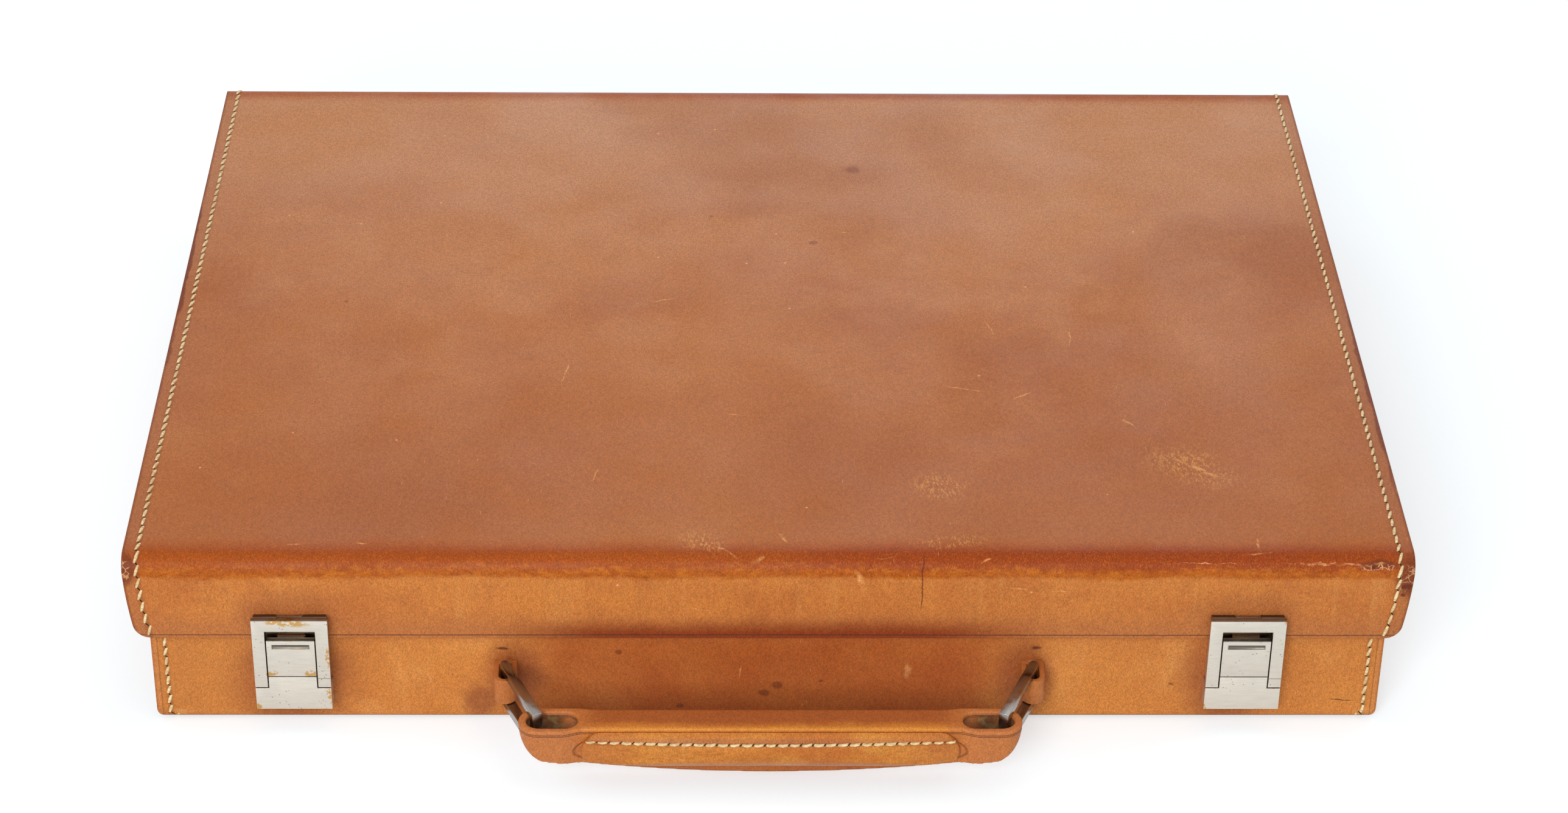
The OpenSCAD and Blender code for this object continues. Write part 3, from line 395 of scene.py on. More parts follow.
def lid_wear_and_sheen(f, skin):
    """The colour of each region of the lid, laid on from the top down, with painted sheen and painted light
    where noted, and its marks.
    """
    ragged = f.ragged(45, 7 * mm)
    torn = f.ragged(260, 2.2 * mm)
    wobble = f.calc("ADD", f.wander(26, 4 * mm), f.wander(150, 3.2 * mm, 0.65))
    z, out = f.calc("ADD", f.z, wobble), f.calc("ADD", f.calc("ABSOLUTE", f.y), wobble)
    wide = f.calc("ABSOLUTE", f.x)
    # The top is paler toward the hinges and redder in front, a painted sheen, under soft clouds.
    skin = f.blend(f.ramp(f.y, -30 * mm, 165 * mm, 0, 0.8), skin, dye(196, 135, 94))
    skin = f.blend(f.ramp(f.y, -168 * mm, 40 * mm, 0.85, 0), skin, dye(173, 98, 49))
    clouds = f.noise(11, 3, 0.5, 0.2)
    skin = f.blend(f.ramp(clouds, 0.52, 0.7, 0, 0.36), skin, dye(160, 94, 62))
    skin = f.blend(f.ramp(clouds, 0.47, 0.3, 0, 0.35), skin, dye(194, 124, 66))
    bleached = f.marks([((168, -30, 69.3), (52, 88, 9))], ragged, 1.0)
    skin = f.blend(f.times(bleached, 0.26), skin, dye(208, 148, 112))
    # The front face: mottled dye, painted lighter and more orange than the top, partly for the light that
    # falls on it.
    front = f.ramp(f.z, lid_top - 4 * mm, lid_top - 8 * mm)
    mottled = f.blend(f.ramp(f.noise(23, 5, 0.65, 0.3), 0.42, 0.68), dye(206, 126, 60), dye(190, 110, 54))
    mottled = f.blend(f.ramp(f.noise(75, 4, 0.7), 0.5, 0.72, 0, 0.5), mottled, dye(172, 98, 52))
    drips = f.noise(1, 3, 0.6, at=f.drawn((130, 9, 9)))
    mottled = f.blend(f.ramp(drips, 0.54, 0.7, 0, 0.5), mottled, dye(212, 140, 74))
    skin = f.blend(f.times(front, 0.85), skin, mottled)
    # The bends: burnished deep brown on top, rubbed to orange below, and ending at a soft line.
    bend = f.times(f.ramp(z, lid_top - 8.3 * mm, lid_top - 5.8 * mm), f.ramp(out, 154 * mm, 165.5 * mm))
    burnish = f.ramp(f.noise(16, 3), 0.3, 0.7, 0.8, 0.98)
    skin = f.blend(f.times(bend, burnish), skin, dye(170, 82, 14))
    deep = f.times(f.ramp(z, lid_top - 5.5 * mm, lid_top - 2.4 * mm), f.ramp(out, 158 * mm, 165.5 * mm),
                   f.ramp(f.noise(10, 3), 0.35, 0.65, 0.6, 0.95), f.ramp(f.x, -180 * mm, 90 * mm, 0.5, 1))
    skin = f.blend(deep, skin, dye(142, 54, 6))
    raised = f.noise(1, 3, 0.7, at=f.drawn((2600, 1300, 1300), (0, 0.5, 0.3)))
    skin = f.blend(f.times(bend, f.ramp(raised, 0.5, 0.66, 0, 0.4)), skin, dye(200, 114, 34))
    low_bend = f.times(bend, f.ramp(z, lid_top - 1.2 * mm, lid_top - 4 * mm))
    flecks = f.noise(1, 4, 0.7, at=f.drawn((240, 420, 420), (0, 0.2, 0)))
    skin = f.blend(f.times(low_bend, f.ramp(flecks, 0.49, 0.62, 0, 0.4)), skin, dye(202, 118, 36))
    skin = f.blend(f.times(low_bend, f.ramp(flecks, 0.46, 0.36, 0, 0.5)), skin, dye(142, 64, 16))
    # The rim: browner toward its crease, and darkened in the middle, where it is lifted.
    skin = f.blend(f.ramp(z, lid_low + 2 * mm, lid_low + 14 * mm, 0.75, 0), skin, dye(180, 108, 61))
    lifted = f.times(f.ramp(wide, 52 * mm, 104 * mm, 1, 0), f.ramp(f.y, 100 * mm, -100 * mm, 0.25, 1),
                     f.ramp(z, lid_low + 1 * mm, lid_low + 10 * mm, 0.95, 0))
    skin = f.blend(lifted, skin, dye(134, 56, 24))
    skin = f.blend(f.times(lid_creases(f), 0.65), skin, dye(98, 48, 28))
    # The sides: a dull margin outside the stitches, dirt along them, and crackled corners.
    inset = lid_inset(f)
    skin = f.blend(f.ramp(inset, 3.6 * mm, 4.6 * mm, 0.4, 0), skin, dye(168, 102, 66))
    skin = f.blend(f.near(inset, lid_seam, 0.5 * mm, 1.5 * mm, 0.4), skin, dye(120, 66, 36))
    skin = f.blend(f.ramp(inset, 0.3 * mm, 1.3 * mm, 0.65, 0), skin, dye(128, 66, 36))
    corners = f.marks([((219, -168, 61), (6, 9, 10)), ((-219, -168.5, 64), (5, 6, 8)),
                       ((207, -168, 66.4), (9, 4, 1.6)), ((219.6, -60, 68), (1.5, 90, 4)),
                       ((-219.6, 20, 68), (1.5, 110, 4))], ragged, 0.45)
    skin = f.blend(f.times(corners, 0.85), skin, dye(116, 52, 24))
    cells = f.cells(430, "DISTANCE_TO_EDGE", f.ragged(500, 2.4 * mm))
    crackle = f.times(f.ramp(cells, 0.02, 0.085, 1, 0), f.ramp(f.noise(190, 3), 0.38, 0.5))
    cracked = f.marks([((218, -168, 60.5), (5, 7, 7.5)), ((208, -169, 66), (8, 3, 1.1)),
                       ((-219.5, -168, 63.5), (3, 5, 5))], torn, 0.4)
    skin = f.blend(f.times(crackle, f.times(cracked, 0.75)), skin, dye(222, 170, 124))
    burst = f.marks([((217.5, -168.5, 58.6), (2.4, 4, 1.6)), ((216.8, -168.5, 55), (1.6, 4, 1)),
                     ((206, -169.4, 66.2), (1.3, 3, 1))], torn, 0.35)
    skin = f.blend(f.times(burst, 0.75), skin, dye(92, 36, 20))
    # Flaking at the left corner, and pale worn lines along the right of the front bend that are also a
    # painted highlight.
    flaking_and_highlight = f.marks([((-218.8, -169, 62.5), (1.1, 3, 1.3)), ((192, -168, 66.9), (20, 3, 0.4), (0, 0.5, 0)),
                      ((150, -168, 67.1), (18, 3, 0.14))], torn, 0.6)
    flakes = f.noise(1, 3, 0.7, at=f.drawn((330, 900, 900)))
    skin = f.blend(f.times(flaking_and_highlight, f.ramp(flakes, 0.44, 0.56, 0.1, 0.85)), skin, dye(212, 142, 92))
    # Marks that the years have left: dull patches round the latches, stains, nicks and a long crack.
    top = lid_top / mm
    halo = f.marks([((-164, -170, 47), (24, 8, 13)), ((164, -170, 47), (25, 8, 12)),
                    ((36.7, 100.6, top), (7, 6, 3))], ragged, 0.6)
    skin = f.blend(f.times(halo, 0.42), skin, dye(150, 84, 56))
    spots = f.marks([((36.7, 100.6, top), (3.2, 3, 3)), ((19.4, 42.8, top), (2.2, 1.6, 3)),
                     ((-157, -2, top), (1, 1, 3)), ((-20, 63, top), (0.8, 0.8, 3))], torn, 0.35)
    skin = f.blend(f.times(spots, 0.6), skin, dye(134, 72, 44))
    on_bend = [((-16, -163.5, 68.8), (8, 0.5, 2), (0, 0, -40)),
               ((-3.6, -167, 67.5), (4, 1.2, 1.6), (0, 0, 30)),
               ((41.4, -166.5, 67.5), (8, 0.5, 1.2), (0, 0, 4)),
               ((74.7, -167, 67.2), (5, 0.5, 1.5), (0, 0, 25)),
               ((168, -165, 68.6), (7, 0.5, 1.2), (0, 0, 8)), ((207, -167.6, 67), (4, 1.2, 0.5), (0, 0, -3))]
    on_front = [((-25, -170, 49), (5, 1, 0.5), (0, 12, 0)), ((84, -170, 57.8), (5, 1, 0.4), (0, 8, 0)),
                ((99, -170, 56.6), (5, 1, 0.4)), ((31, -170, 60), (1.6, 1, 7), (0, -18, 0))]
    on_top = [((x, y, top), (long, broad, 1), (0, 0, turned)) for x, y, long, broad, turned in (
        (-161.7, -160.5, 3.6, 0.5, 4), (-139.7, -160, 3.4, 0.5, -4), (4.5, -156.5, 4, 1, -60),
        (167, -160, 0.6, 5, 4), (93, -66, 6, 0.7, 35), (-37.5, 0, 6.5, 0.5, 16), (-73.5, -52, 10.5, 0.5, 80),
        (31.5, 51, 3.4, 0.4, 8), (113.3, -26, 8.6, 0.4, 86), (129.6, -84, 5.7, 0.7, -50),
        (72, -62, 9.2, 0.5, -13), (84, -20, 8.9, 0.4, -75), (-12, -79, 5.5, 0.4, -8),
        (-61, -119, 6.8, 0.4, 78), (152, -114, 17, 1.2, -38))]
    broken = f.ramp(f.noise(420, 3), 0.35, 0.6, 0.15, 0.8)
    pale = f.times(f.marks(on_bend + on_front + on_top, torn, 0.8), broken)
    skin = f.blend(pale, skin, dye(232, 160, 92))
    scuffed = f.marks([((-24, -159, top), (12, 9, 2), (0, 0, -25)), ((62, -158, top), (16, 5, 2), (0, 0, 10)),
                       ((150, -112, top), (26, 16, 2), (0, 0, -30)),
                       ((60, -126, top), (14, 12, 2))], ragged, 0.8)
    rasped = f.noise(1, 3, at=f.drawn((1300, 500, 500), (0, 0, 0.7)))
    skin = f.blend(f.times(scuffed, f.ramp(rasped, 0.5, 0.6, 0, 0.7)), skin, dye(218, 148, 76))
    crack = f.marks([((51.8, -169, 60), (0.32, 7, 14), (0, 2, 0))], torn, 0.4)
    return f.blend(f.times(crack, 0.8), skin, dye(96, 40, 22))


lid_leather = tanned("lid_leather", dye(184, 111, 60), dye(168, 95, 52), dye(198, 128, 76), 0.5, 1.0,
                     lid_wear_and_sheen, lid_creases)
edge_dye = tanned("burnished_edge", dye(140, 72, 38), dye(112, 52, 28), dye(188, 112, 66), 0.4, 0.6)
lid_rows = [lid_low + lid_corner_r * (1 - math.cos(a * math.pi / 16)) for a in range(1, 9)]
lid_rows += [lid_low + (lid_top - lid_low) * share for share in (0.3, 0.45, 0.6, 0.7)]
lid_sheet = bent_sheet("lid_sheet", lid_w, lid_front, lid_back, lid_low, lid_top, lid_bend_r, False, sheet_t,
                       lid_side, lid_rows)
finish_piece(lid_sheet, "lid", "lid_leather", [lid_leather, edge_dye], "lid_wrap")

# Base: the same leather bent the other way, round the front, the underside and the back. It is
# lighter and more orange, and darker behind the grip and round the fittings, with painted shade
# under the lid's rim and a painted shadow beside the left loop.
(base_left, base_front, _), (base_right, base_back, base_high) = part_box("base_wrap")
base_w = base_right - base_left
base_bend_r, base_corner_r, base_crease = 3 * mm, 4.5 * mm, 2.1 * mm


def base_side(z):
    """Half the base's width at a height: its lower corners are round."""
    if z < base_corner_r:
        return base_w / 2 - base_corner_r + math.sqrt(max(base_corner_r ** 2 - (base_corner_r - z) ** 2, 0))
    return base_w / 2


def base_creases(f):
    """A creased line outside the stitches of each end."""
    inset = f.calc("SUBTRACT", base_w / 2, f.calc("ABSOLUTE", f.x))
    return f.near(inset, base_crease, 0, 0.3 * mm, 0.45)


def base_wear_and_shade(f, skin):
    """Darker behind the grip and the fittings, dirty along seams, darker at edges with painted shade under
    the lid, then marks.
    """
    ragged = f.ragged(40, 10 * mm)
    torn = f.ragged(240, 2 * mm)
    wobble = f.wander(20, 50 * mm)
    wide = f.calc("ADD", f.calc("ABSOLUTE", f.x), wobble)
    dim = f.times(f.ramp(wide, 62 * mm, 98 * mm, 0.9, 0), f.ramp(f.noise(30, 3), 0.3, 0.7, 0.75, 1),
                  f.ramp(f.y, -100 * mm, -150 * mm))
    skin = f.blend(dim, skin, dye(163, 79, 36))
    skin = f.blend(f.times(dim, f.ramp(f.z, 26 * mm, 6 * mm, 0, 0.12)), skin, dye(138, 62, 32))
    face = base_front / mm
    # Dull patches round the loops and latches; the low patch beside the left loop is a painted shadow.
    halo = f.marks([((-89, face, 19), (14, 9, 20)), ((89, face, 19), (14, 9, 20)),
                    ((-165, face, 18), (31, 9, 32)), ((160, face, 18), (22, 9, 30)),
                    ((-100, face, 8), (9, 9, 12))], ragged, 0.6)
    skin = f.blend(f.times(halo, 0.8), skin, dye(153, 84, 48))
    skin = f.blend(f.ramp(f.x, -176 * mm, -202 * mm, 0, 0.5), skin, dye(184, 110, 54))
    skin = f.blend(f.ramp(f.z, 0.2 * mm, 1.6 * mm, 0.7, 0), skin, dye(120, 60, 36))
    # Painted shade just under the lid's rim.
    skin = f.blend(f.ramp(f.z, base_high - 5 * mm, base_high, 0, 0.3), skin, dye(165, 92, 46))
    inset = f.calc("SUBTRACT", base_w / 2, f.calc("ABSOLUTE", f.x))
    skin = f.blend(f.near(inset, base_seam, 0.4 * mm, 1.3 * mm, 0.4), skin, dye(125, 70, 36))
    skin = f.blend(f.ramp(inset, 1.7 * mm, 2.1 * mm, 0.35, 0), skin, dye(206, 132, 82))
    skin = f.blend(f.times(base_creases(f), 0.9), skin, dye(130, 70, 40))
    skin = f.blend(f.ramp(inset, 0.2 * mm, 1 * mm, 0.4, 0), skin, dye(134, 72, 42))
    stains = f.marks([((2.9, face, 14.5), (2.6, 3, 2), (0, 20, 0)), ((-1.7, face, 11.3), (2.8, 3, 1.8)),
                      ((-31, face, 5.7), (1.8, 3, 1.2)), ((-52, face, 28.7), (1.6, 3, 1.4), (0, 30, 0)),
                      ((18, face, 16.5), (1, 3, 0.8)), ((140, face, 15.4), (0.8, 3, 0.8))], torn, 0.5)
    skin = f.blend(f.times(stains, 0.62), skin, dye(98, 46, 26))
    nicks = f.marks([((-91.8, face, 30.4), (3, 2, 0.7)), ((92.1, face, 30.8), (2.4, 2, 0.9)),
                     ((200, face, 8.2), (6, 2, 0.3), (0, 5, 0))], torn, 0.6)
    skin = f.blend(f.times(nicks, 0.85), skin, dye(84, 44, 28))
    pale = f.marks([((-117, face, 16), (0.5, 2, 6), (0, -6, 0)), ((-10, face, 20), (0.4, 2, 4), (0, 8, 0)),
                    ((48, face, 21), (2, 2, 5)), ((-204, face, 3), (5, 2, 2)),
                    ((208, face, 3), (4, 2, 3))], torn, 0.8)
    return f.blend(f.times(pale, f.ramp(f.noise(300, 3), 0.4, 0.65, 0.1, 0.6)), skin, dye(230, 165, 105))


base_leather = tanned("base_leather", dye(210, 132, 64), dye(196, 117, 56), dye(222, 150, 82), 0.5, 1.0,
                      base_wear_and_shade, base_creases)
base_rows = [base_corner_r * (1 - math.cos(a * math.pi / 16)) for a in range(1, 9)]
base_rows += [base_high * share for share in (0.35, 0.55, 0.75)]
base_sheet = bent_sheet("base_sheet", base_w, base_front, base_back, 0, base_high, base_bend_r, True, sheet_t,
                        base_side, base_rows)
finish_piece(base_sheet, "case", "base_leather", [base_leather, edge_dye], "base_wrap")


# End panels: leather walls set back between the sheets, with their edges turned out under them.
def merged_copy(node, name, flatten):
    """A copy of a CAD piece with its corners merged, and its flat faces too if asked."""
    piece = bpy.data.objects.new(name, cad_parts[node].data.copy())
    bpy.context.scene.collection.objects.link(piece)
    bpy.ops.object.select_all(action="DESELECT")
    piece.select_set(True)
    bpy.context.view_layer.objects.active = piece
    bpy.ops.object.mode_set(mode="EDIT")
    bpy.ops.mesh.select_all(action="SELECT")
    bpy.ops.mesh.remove_doubles(threshold=0.005 * mm)
    if flatten:
        bpy.ops.mesh.dissolve_limited(angle_limit=math.radians(1))
    bpy.ops.object.mode_set(mode="OBJECT")
    return piece


def filed(node, name, body, slot, materials, edge, segments=2):
    """A CAD piece with its sharp edges rounded off."""
    piece = merged_copy(node, name, True)
    piece.data.materials.clear()
    for material in materials:
        piece.data.materials.append(material)
    file = piece.modifiers.new("filed_edge", "BEVEL")
    file.width = edge
    file.segments = segments
    file.limit_method = "ANGLE"
    file.angle_limit = math.radians(35)
    file.material = len(materials) - 1
    bpy.ops.object.modifier_apply(modifier="filed_edge")
    return finish_piece(piece, body, slot, materials, node)


for side in ("left", "right"):
    filed("lid_end_" + side, "lid_wall_" + side, "lid", "lid_leather", [lid_leather], 0.4 * mm)
    filed("base_end_" + side, "base_wall_" + side, "case", "base_leather", [base_leather], 0.4 * mm)


# Saddle stitching: waxed linen thread, each stitch slanting one way and its slit the other; the slits are
# thin dark pieces, painted shade for the awl holes.
def waxed(name, colour):
    """Twisted linen thread, soiled in places."""
    f = Finish(name)
    ply = f.noise(1, 2, 0.5, at=f.drawn((700, 1500, 1500), (0.5, 0.6, 0.5)))
    soiled = f.blend(f.ramp(f.noise(90, 3), 0.45, 0.7, 0, 0.55), colour, dye(196, 148, 92))
    f.plug(f.blend(f.ramp(ply, 0.36, 0.62, 0.75, 0), soiled, dye(198, 160, 106)), f.shader["Base Color"])
    f.plug(f.ramp(ply, 0.3, 0.7, 0.5, 0.7), f.shader["Roughness"])
    f.plug(f.bump(ply, 0.5, 0.0002), f.shader["Normal"])
    return f.made


def seam(name, points, length, width, lean, body, slot, material, thick=0.42, crescent=1.0):
    """Copies one modelled stitch to each (place, along, outward) and joins them into one piece."""
    bpy.ops.mesh.primitive_uv_sphere_add(segments=8, ring_count=6, radius=width / 2)
    pattern = bpy.context.object
    bm = bmesh.new()
    bm.from_mesh(pattern.data)
    for v in bm.verts:
        v.co.y += math.copysign((length - width) / 2, v.co.y) if abs(v.co.y) > width * 0.01 else 0
        v.co.x *= crescent if v.co.x < 0 else 1
        v.co.z = v.co.z * 2 * thick - 0.5 * width * (2 * v.co.y / length) ** 4
    bm.to_mesh(pattern.data)
    bm.free()
    copies = []
    for place, along, out in points:
        side = along.cross(out).normalized()
        leaning = Matrix.Rotation(math.radians(lean + random.uniform(-6, 6)), 4, "Z")
        leaning = leaning @ Matrix.Scale(random.uniform(0.93, 1.04), 4)
        copy = bpy.data.objects.new(name, pattern.data.copy())
        bpy.context.scene.collection.objects.link(copy)
        facing = Matrix((side, along, out)).transposed().to_4x4()
        copy.data.transform(Matrix.Translation(place) @ facing @ leaning)
        copies.append(copy)
    bpy.data.objects.remove(pattern)
    bpy.ops.object.select_all(action="DESELECT")
    for copy in copies:
        copy.select_set(True)
    bpy.context.view_layer.objects.active = copies[0]
    bpy.ops.object.join()
    piece = bpy.context.object
    piece.name = name
    return finish_piece(piece, body, slot, [material])


def round_path(front, back, low, high, r, open_up, step, start):
    """Places and directions along a sheet's outer face, from its front rim round to its back rim."""
    wall, arc, flat = high - low - r, r * math.pi / 2, back - front - 2 * r
    total = 2 * wall + 2 * arc + flat
    found, s = [], start
    while s < total - 2.5 * mm:
        if s < wall:
            y, z, ty, tz = front, low + s, 0, 1
        elif s < wall + arc:
            a = (s - wall) / r
            y, z, ty, tz = front + r - r * math.cos(a), low + wall + r * math.sin(a), math.sin(a), math.cos(a)
        elif s < wall + arc + flat:
            y, z, ty, tz = front + r + s - wall - arc, high, 1, 0
        elif s < wall + 2 * arc + flat:
            a = (s - wall - arc - flat) / r
            y, z, ty, tz = back - r + r * math.sin(a), high - r + r * math.cos(a), math.cos(a), -math.sin(a)
        else:
            y, z, ty, tz = back, high - r - (s - wall - 2 * arc - flat), 0, -1
        if open_up:
            z, tz = low + high - z, -tz
        out = Vector((0, tz, -ty)) if open_up else Vector((0, -tz, ty))
        found.append((y, z, Vector((0, ty, tz)), out))
        s += step
    return found


underside_sink = 0.4 * mm
linen = waxed("linen_thread", dye(246, 224, 172))
# Dark slits: painted shade in the awl holes between the stitches.
slit_shade = tanned("awl_slit_shade", dye(54, 30, 18), dye(38, 20, 14), dye(74, 44, 28), 0.7, 0.5)
for side, sign in (("left", -1), ("right", 1)):
    for part, body, side_x, inset, pitch, length, low, high, front, back, r in (
            ("lid", "lid", lid_side, lid_seam, 4.95 * mm, 4.75 * mm,
             lid_low, lid_top, lid_front, lid_back, lid_bend_r),
            ("base", "case", base_side, base_seam, 4.1 * mm, 3.95 * mm,
             0, base_high, base_front, base_back, base_bend_r)):
        for what, start, size, width, lean, rise, thick, material in (
                ("stitches", 3.2 * mm, length, 1.22 * mm, -14, 0.12 * mm, 0.42, linen),
                ("slits", 3.2 * mm + pitch / 2, 2.3 * mm, 0.46 * mm, 40, 0.08 * mm, 0.2, slit_shade)):
            points = []
            for y, z, along, out in round_path(front, back, low, high, r, part == "base", pitch, start):
                proud = rise if out.z > -0.5 else -underside_sink
                points.append((Vector((sign * (side_x(z) - inset), y, z)) + out * proud, along, out))
            name = part + "_" + what + "_" + side
            seam(name, points, size, width, lean, body, part + "_leather", material, thick)


# Latches: pressed and filed brass, nickel plated, with the plating worn through at edges and corners.
def plated(name, colour, worn, rough, wear=0.63, spots=None, shade_and_grime=None):
    """Brushed and pitted metal whose plating has worn through in patches."""
    f = Finish(name)
    brushed = f.noise(1, 4, 0.6, at=f.drawn((160, 160, 1400)))
    metal = f.blend(f.ramp(brushed, 0.35, 0.7, 0, 0.35), colour, tuple(v * 0.78 for v in colour))
    patch = f.ramp(f.noise(170, 6, 0.65), wear, wear + 0.03)
    if spots:
        rubbed = f.marks(spots, f.ragged(200, 5 * mm), 0.4)
        patch = f.calc("MAXIMUM", patch, f.times(rubbed, f.ramp(f.noise(700, 3), 0.42, 0.5)))
    metal = f.blend(patch, metal, worn)
    dots = f.times(f.ramp(f.cells(640), 0.08, 0.17, 0.8, 0), f.ramp(f.noise(110, 2), 0.46, 0.56))
    metal = f.blend(dots, metal, dye(84, 66, 44))
    # Dark olive where the latches have old dirt and painted shade.
    if shade_and_grime:
        metal = f.blend(shade_and_grime(f), metal, dye(46, 40, 26))
    f.plug(metal, f.shader["Base Color"])
    f.shader["Metallic"].default_value = 1
    sheen = f.noise(300, 4)
    f.plug(f.ramp(sheen, 0.3, 0.7, rough - 0.06, rough + 0.08), f.shader["Roughness"])
    f.plug(f.bump(f.calc("ADD", sheen, brushed), 0.12, 0.0001), f.shader["Normal"])
    return f.made


def latch_grime_and_shade(f):
    """Painted shade with old polish and dirt: dark in the gaps and the groove, under the arch, along the top
    and at a seam of each right leg.
    """
    (flap_left, _, flap_low), (flap_right, _, flap_top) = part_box("catch_left")
    (_, _, leg_low), (_, _, hasp_top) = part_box("hasp_left")
    middle, half, play = -(flap_left + flap_right) / 2, (flap_right - flap_left) / 2, 0.2 * mm
    inside = f.calc("ABSOLUTE", f.calc("SUBTRACT", f.calc("ABSOLUTE", f.x), middle))
    aside = f.calc("SUBTRACT", f.x, f.times(f.calc("SIGN", f.x), middle))
    over = f.ramp(inside, half - 0.1 * mm, half + 0.5 * mm, 1, 0)
    # Painted shade in the gaps beside the flap, at the foot of the legs and under the flap.
    gaps = f.times(f.near(inside, half + play, 0.18 * mm, 0.3 * mm, 0.95),
                   f.ramp(f.z, flap_top + 2.2 * mm, flap_top + 2 * mm),
                   f.ramp(f.z, leg_low - 0.4 * mm, leg_low - 0.3 * mm))
    low = f.times(f.near(f.z, leg_low - play, 0.18 * mm, 0.3 * mm, 0.95),
                  f.ramp(inside, half, half + 0.3 * mm))
    seat = f.times(f.near(f.z, flap_low - play, 0.12 * mm, 0.26 * mm, 0.6), over)
    # Painted shade in the flap's groove, dulling its reflection.
    groove = f.times(f.near(f.z, flap_top - 2.6 * mm, 0.82 * mm, 0.98 * mm, 0.78),
                     f.ramp(inside, half - 2 * mm, half - 1.6 * mm, 1, 0))
    # Dark olive at the top of the flap under the arch: old polish and painted shade.
    behind = f.times(f.ramp(f.z, flap_top - 0.5 * mm, flap_top - 0.1 * mm, 0, 0.42), over,
                     f.ramp(f.z, flap_top + 2.4 * mm, flap_top + 1.8 * mm))
    # A painted dark line along the top edge of the arch.
    roof = f.ramp(f.z, hasp_top - 0.4 * mm, hasp_top - 0.15 * mm, 0, 0.62)
    # A painted seam line on each right leg, dark as the shade in a cut.
    joint = f.times(f.near(f.z, leg_low + 3.7 * mm, 0.08 * mm, 0.2 * mm, 0.6),
                    f.ramp(aside, half, half + 0.3 * mm))
    mask = gaps
    for more in (low, seat, groove, behind, roof, joint):
        mask = f.calc("MAXIMUM", mask, more)
    return mask


brassy = dye(196, 152, 92)
latch_face = -174.6
rubbed_spots = [((-165, latch_face, 46.2), (9, 3, 1.9), (0, 4, 0)), ((-171, latch_face, 24.6), (2.2, 3, 1.6)),
                ((-157.5, latch_face, 24.6), (3, 3, 1.5)), ((-176.5, latch_face, 10), (1.6, 3, 1.6)),
                ((-151.4, latch_face, 15), (1.2, 3, 4)), ((-151.3, latch_face, 32), (0.8, 3, 5)),
                ((151.4, latch_face, 10), (1.4, 3, 1.4)), ((177, latch_face, 47), (1.2, 3, 1))]
nickel = plated("latch_nickel", dye(212, 203, 190), brassy, 0.4, 0.7, rubbed_spots, latch_grime_and_shade)
nickel_edge = plated("latch_edge", dye(210, 200, 182), dye(188, 140, 78), 0.34, 0.57, None, latch_grime_and_shade)
# The lid plates are coloured dark, a painted shade where they show behind the arches.
lid_plate_in_shade = plated("lid_plate_in_shade", dye(98, 82, 68), dye(150, 108, 66), 0.3, 0.62)
for side in ("left", "right"):
    for node, name, body, face_metal, edge in (
            ("hasp_", "latch_arch_", "hasp_" + side, nickel, 0.25 * mm),
            ("catch_", "latch_flap_", "catch_" + side, nickel, 0.2 * mm),
            ("lock_plate_", "latch_plate_", "case", nickel, 0.25 * mm),
            ("hasp_plate_", "latch_lid_plate_", "lid", lid_plate_in_shade, 0.2 * mm)):
        filed(node + side, name + side, body, "latch_metal", [face_metal, nickel_edge], edge)


# Pins, springs and rivets of the latches: turned steel pins, sprung leaves and brass rivets.
def coat(material, *nodes):
    """Dresses CAD pieces that are shown as they are."""
    for node in nodes:
        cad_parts[node].data.materials.clear()
        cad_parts[node].data.materials.append(material)


coat(plated("pin_steel", dye(182, 178, 172), dye(146, 130, 106), 0.32), "catch_pin_left", "catch_pin_right",
     "hasp_pin_left", "hasp_pin_right", "catch_spring_left", "catch_spring_right")
coat(plated("rivet_brass", dye(208, 172, 104), dye(160, 118, 70), 0.3),
     "lock_rivets", "loop_rivets", "hasp_rivets")

# Hinges at the back: three plated brass butt hinges with countersunk screws.
hinge_nickel = plated("hinge_nickel", dye(196, 190, 178), brassy, 0.36)
coat(hinge_nickel, "hinge_leaves_base", "hinge_leaves_lid", "hinge_pins",
     "hinge_screws_base", "hinge_screws_lid")


# Inside: wooden trays lined with suede, thin suede pads, and a mirror in a leather frame under the lid.
def napped(name, base, dark, light):
    """Suede, brushed one way."""
    f = Finish(name)
    nap = f.blend(f.ramp(f.noise(14, 5, 0.6, 0.6), 0.36, 0.66), base, dark)
    brushed = f.noise(1, 4, 0.6, at=f.drawn((60, 25, 60), (0, 0, 0.3)))
    nap = f.blend(f.ramp(brushed, 0.5, 0.72, 0, 0.6), nap, light)
    fibre = f.noise(1400, 4, 0.7)
    nap = f.blend(f.ramp(fibre, 0.4, 0.7, 0, 0.4), nap, tuple(v * 0.5 for v in dark))
    f.plug(nap, f.shader["Base Color"])
    f.plug(f.ramp(fibre, 0.3, 0.7, 0.82, 0.95), f.shader["Roughness"])
    f.plug(f.bump(fibre, 0.3, 0.0003, f.bump(f.noise(45, 3), 0.3, 0.001)), f.shader["Normal"])
    f.shader["Sheen Weight"].default_value = 0.25
    f.shader["Specular IOR Level"].default_value = 0.15
    return f.made


def sawn(name, pale, brown):
    """Planed wood with long rings and dark vessels."""
    f = Finish(name)
    rings = f.noise(1, 4, 0.55, 0.8, at=f.drawn((6, 90, 90)))
    timber = f.blend(f.ramp(rings, 0.4, 0.62), pale, brown)
    vessels = f.ramp(f.noise(1, 3, at=f.drawn((60, 900, 900))), 0.5, 0.75, 0, 0.35)
    timber = f.blend(vessels, timber, tuple(v * 0.5 for v in brown))
    f.plug(timber, f.shader["Base Color"])
    f.plug(f.ramp(rings, 0.3, 0.7, 0.5, 0.66), f.shader["Roughness"])
    f.plug(f.bump(rings, 0.2, 0.0003), f.shader["Normal"])
    return f.made


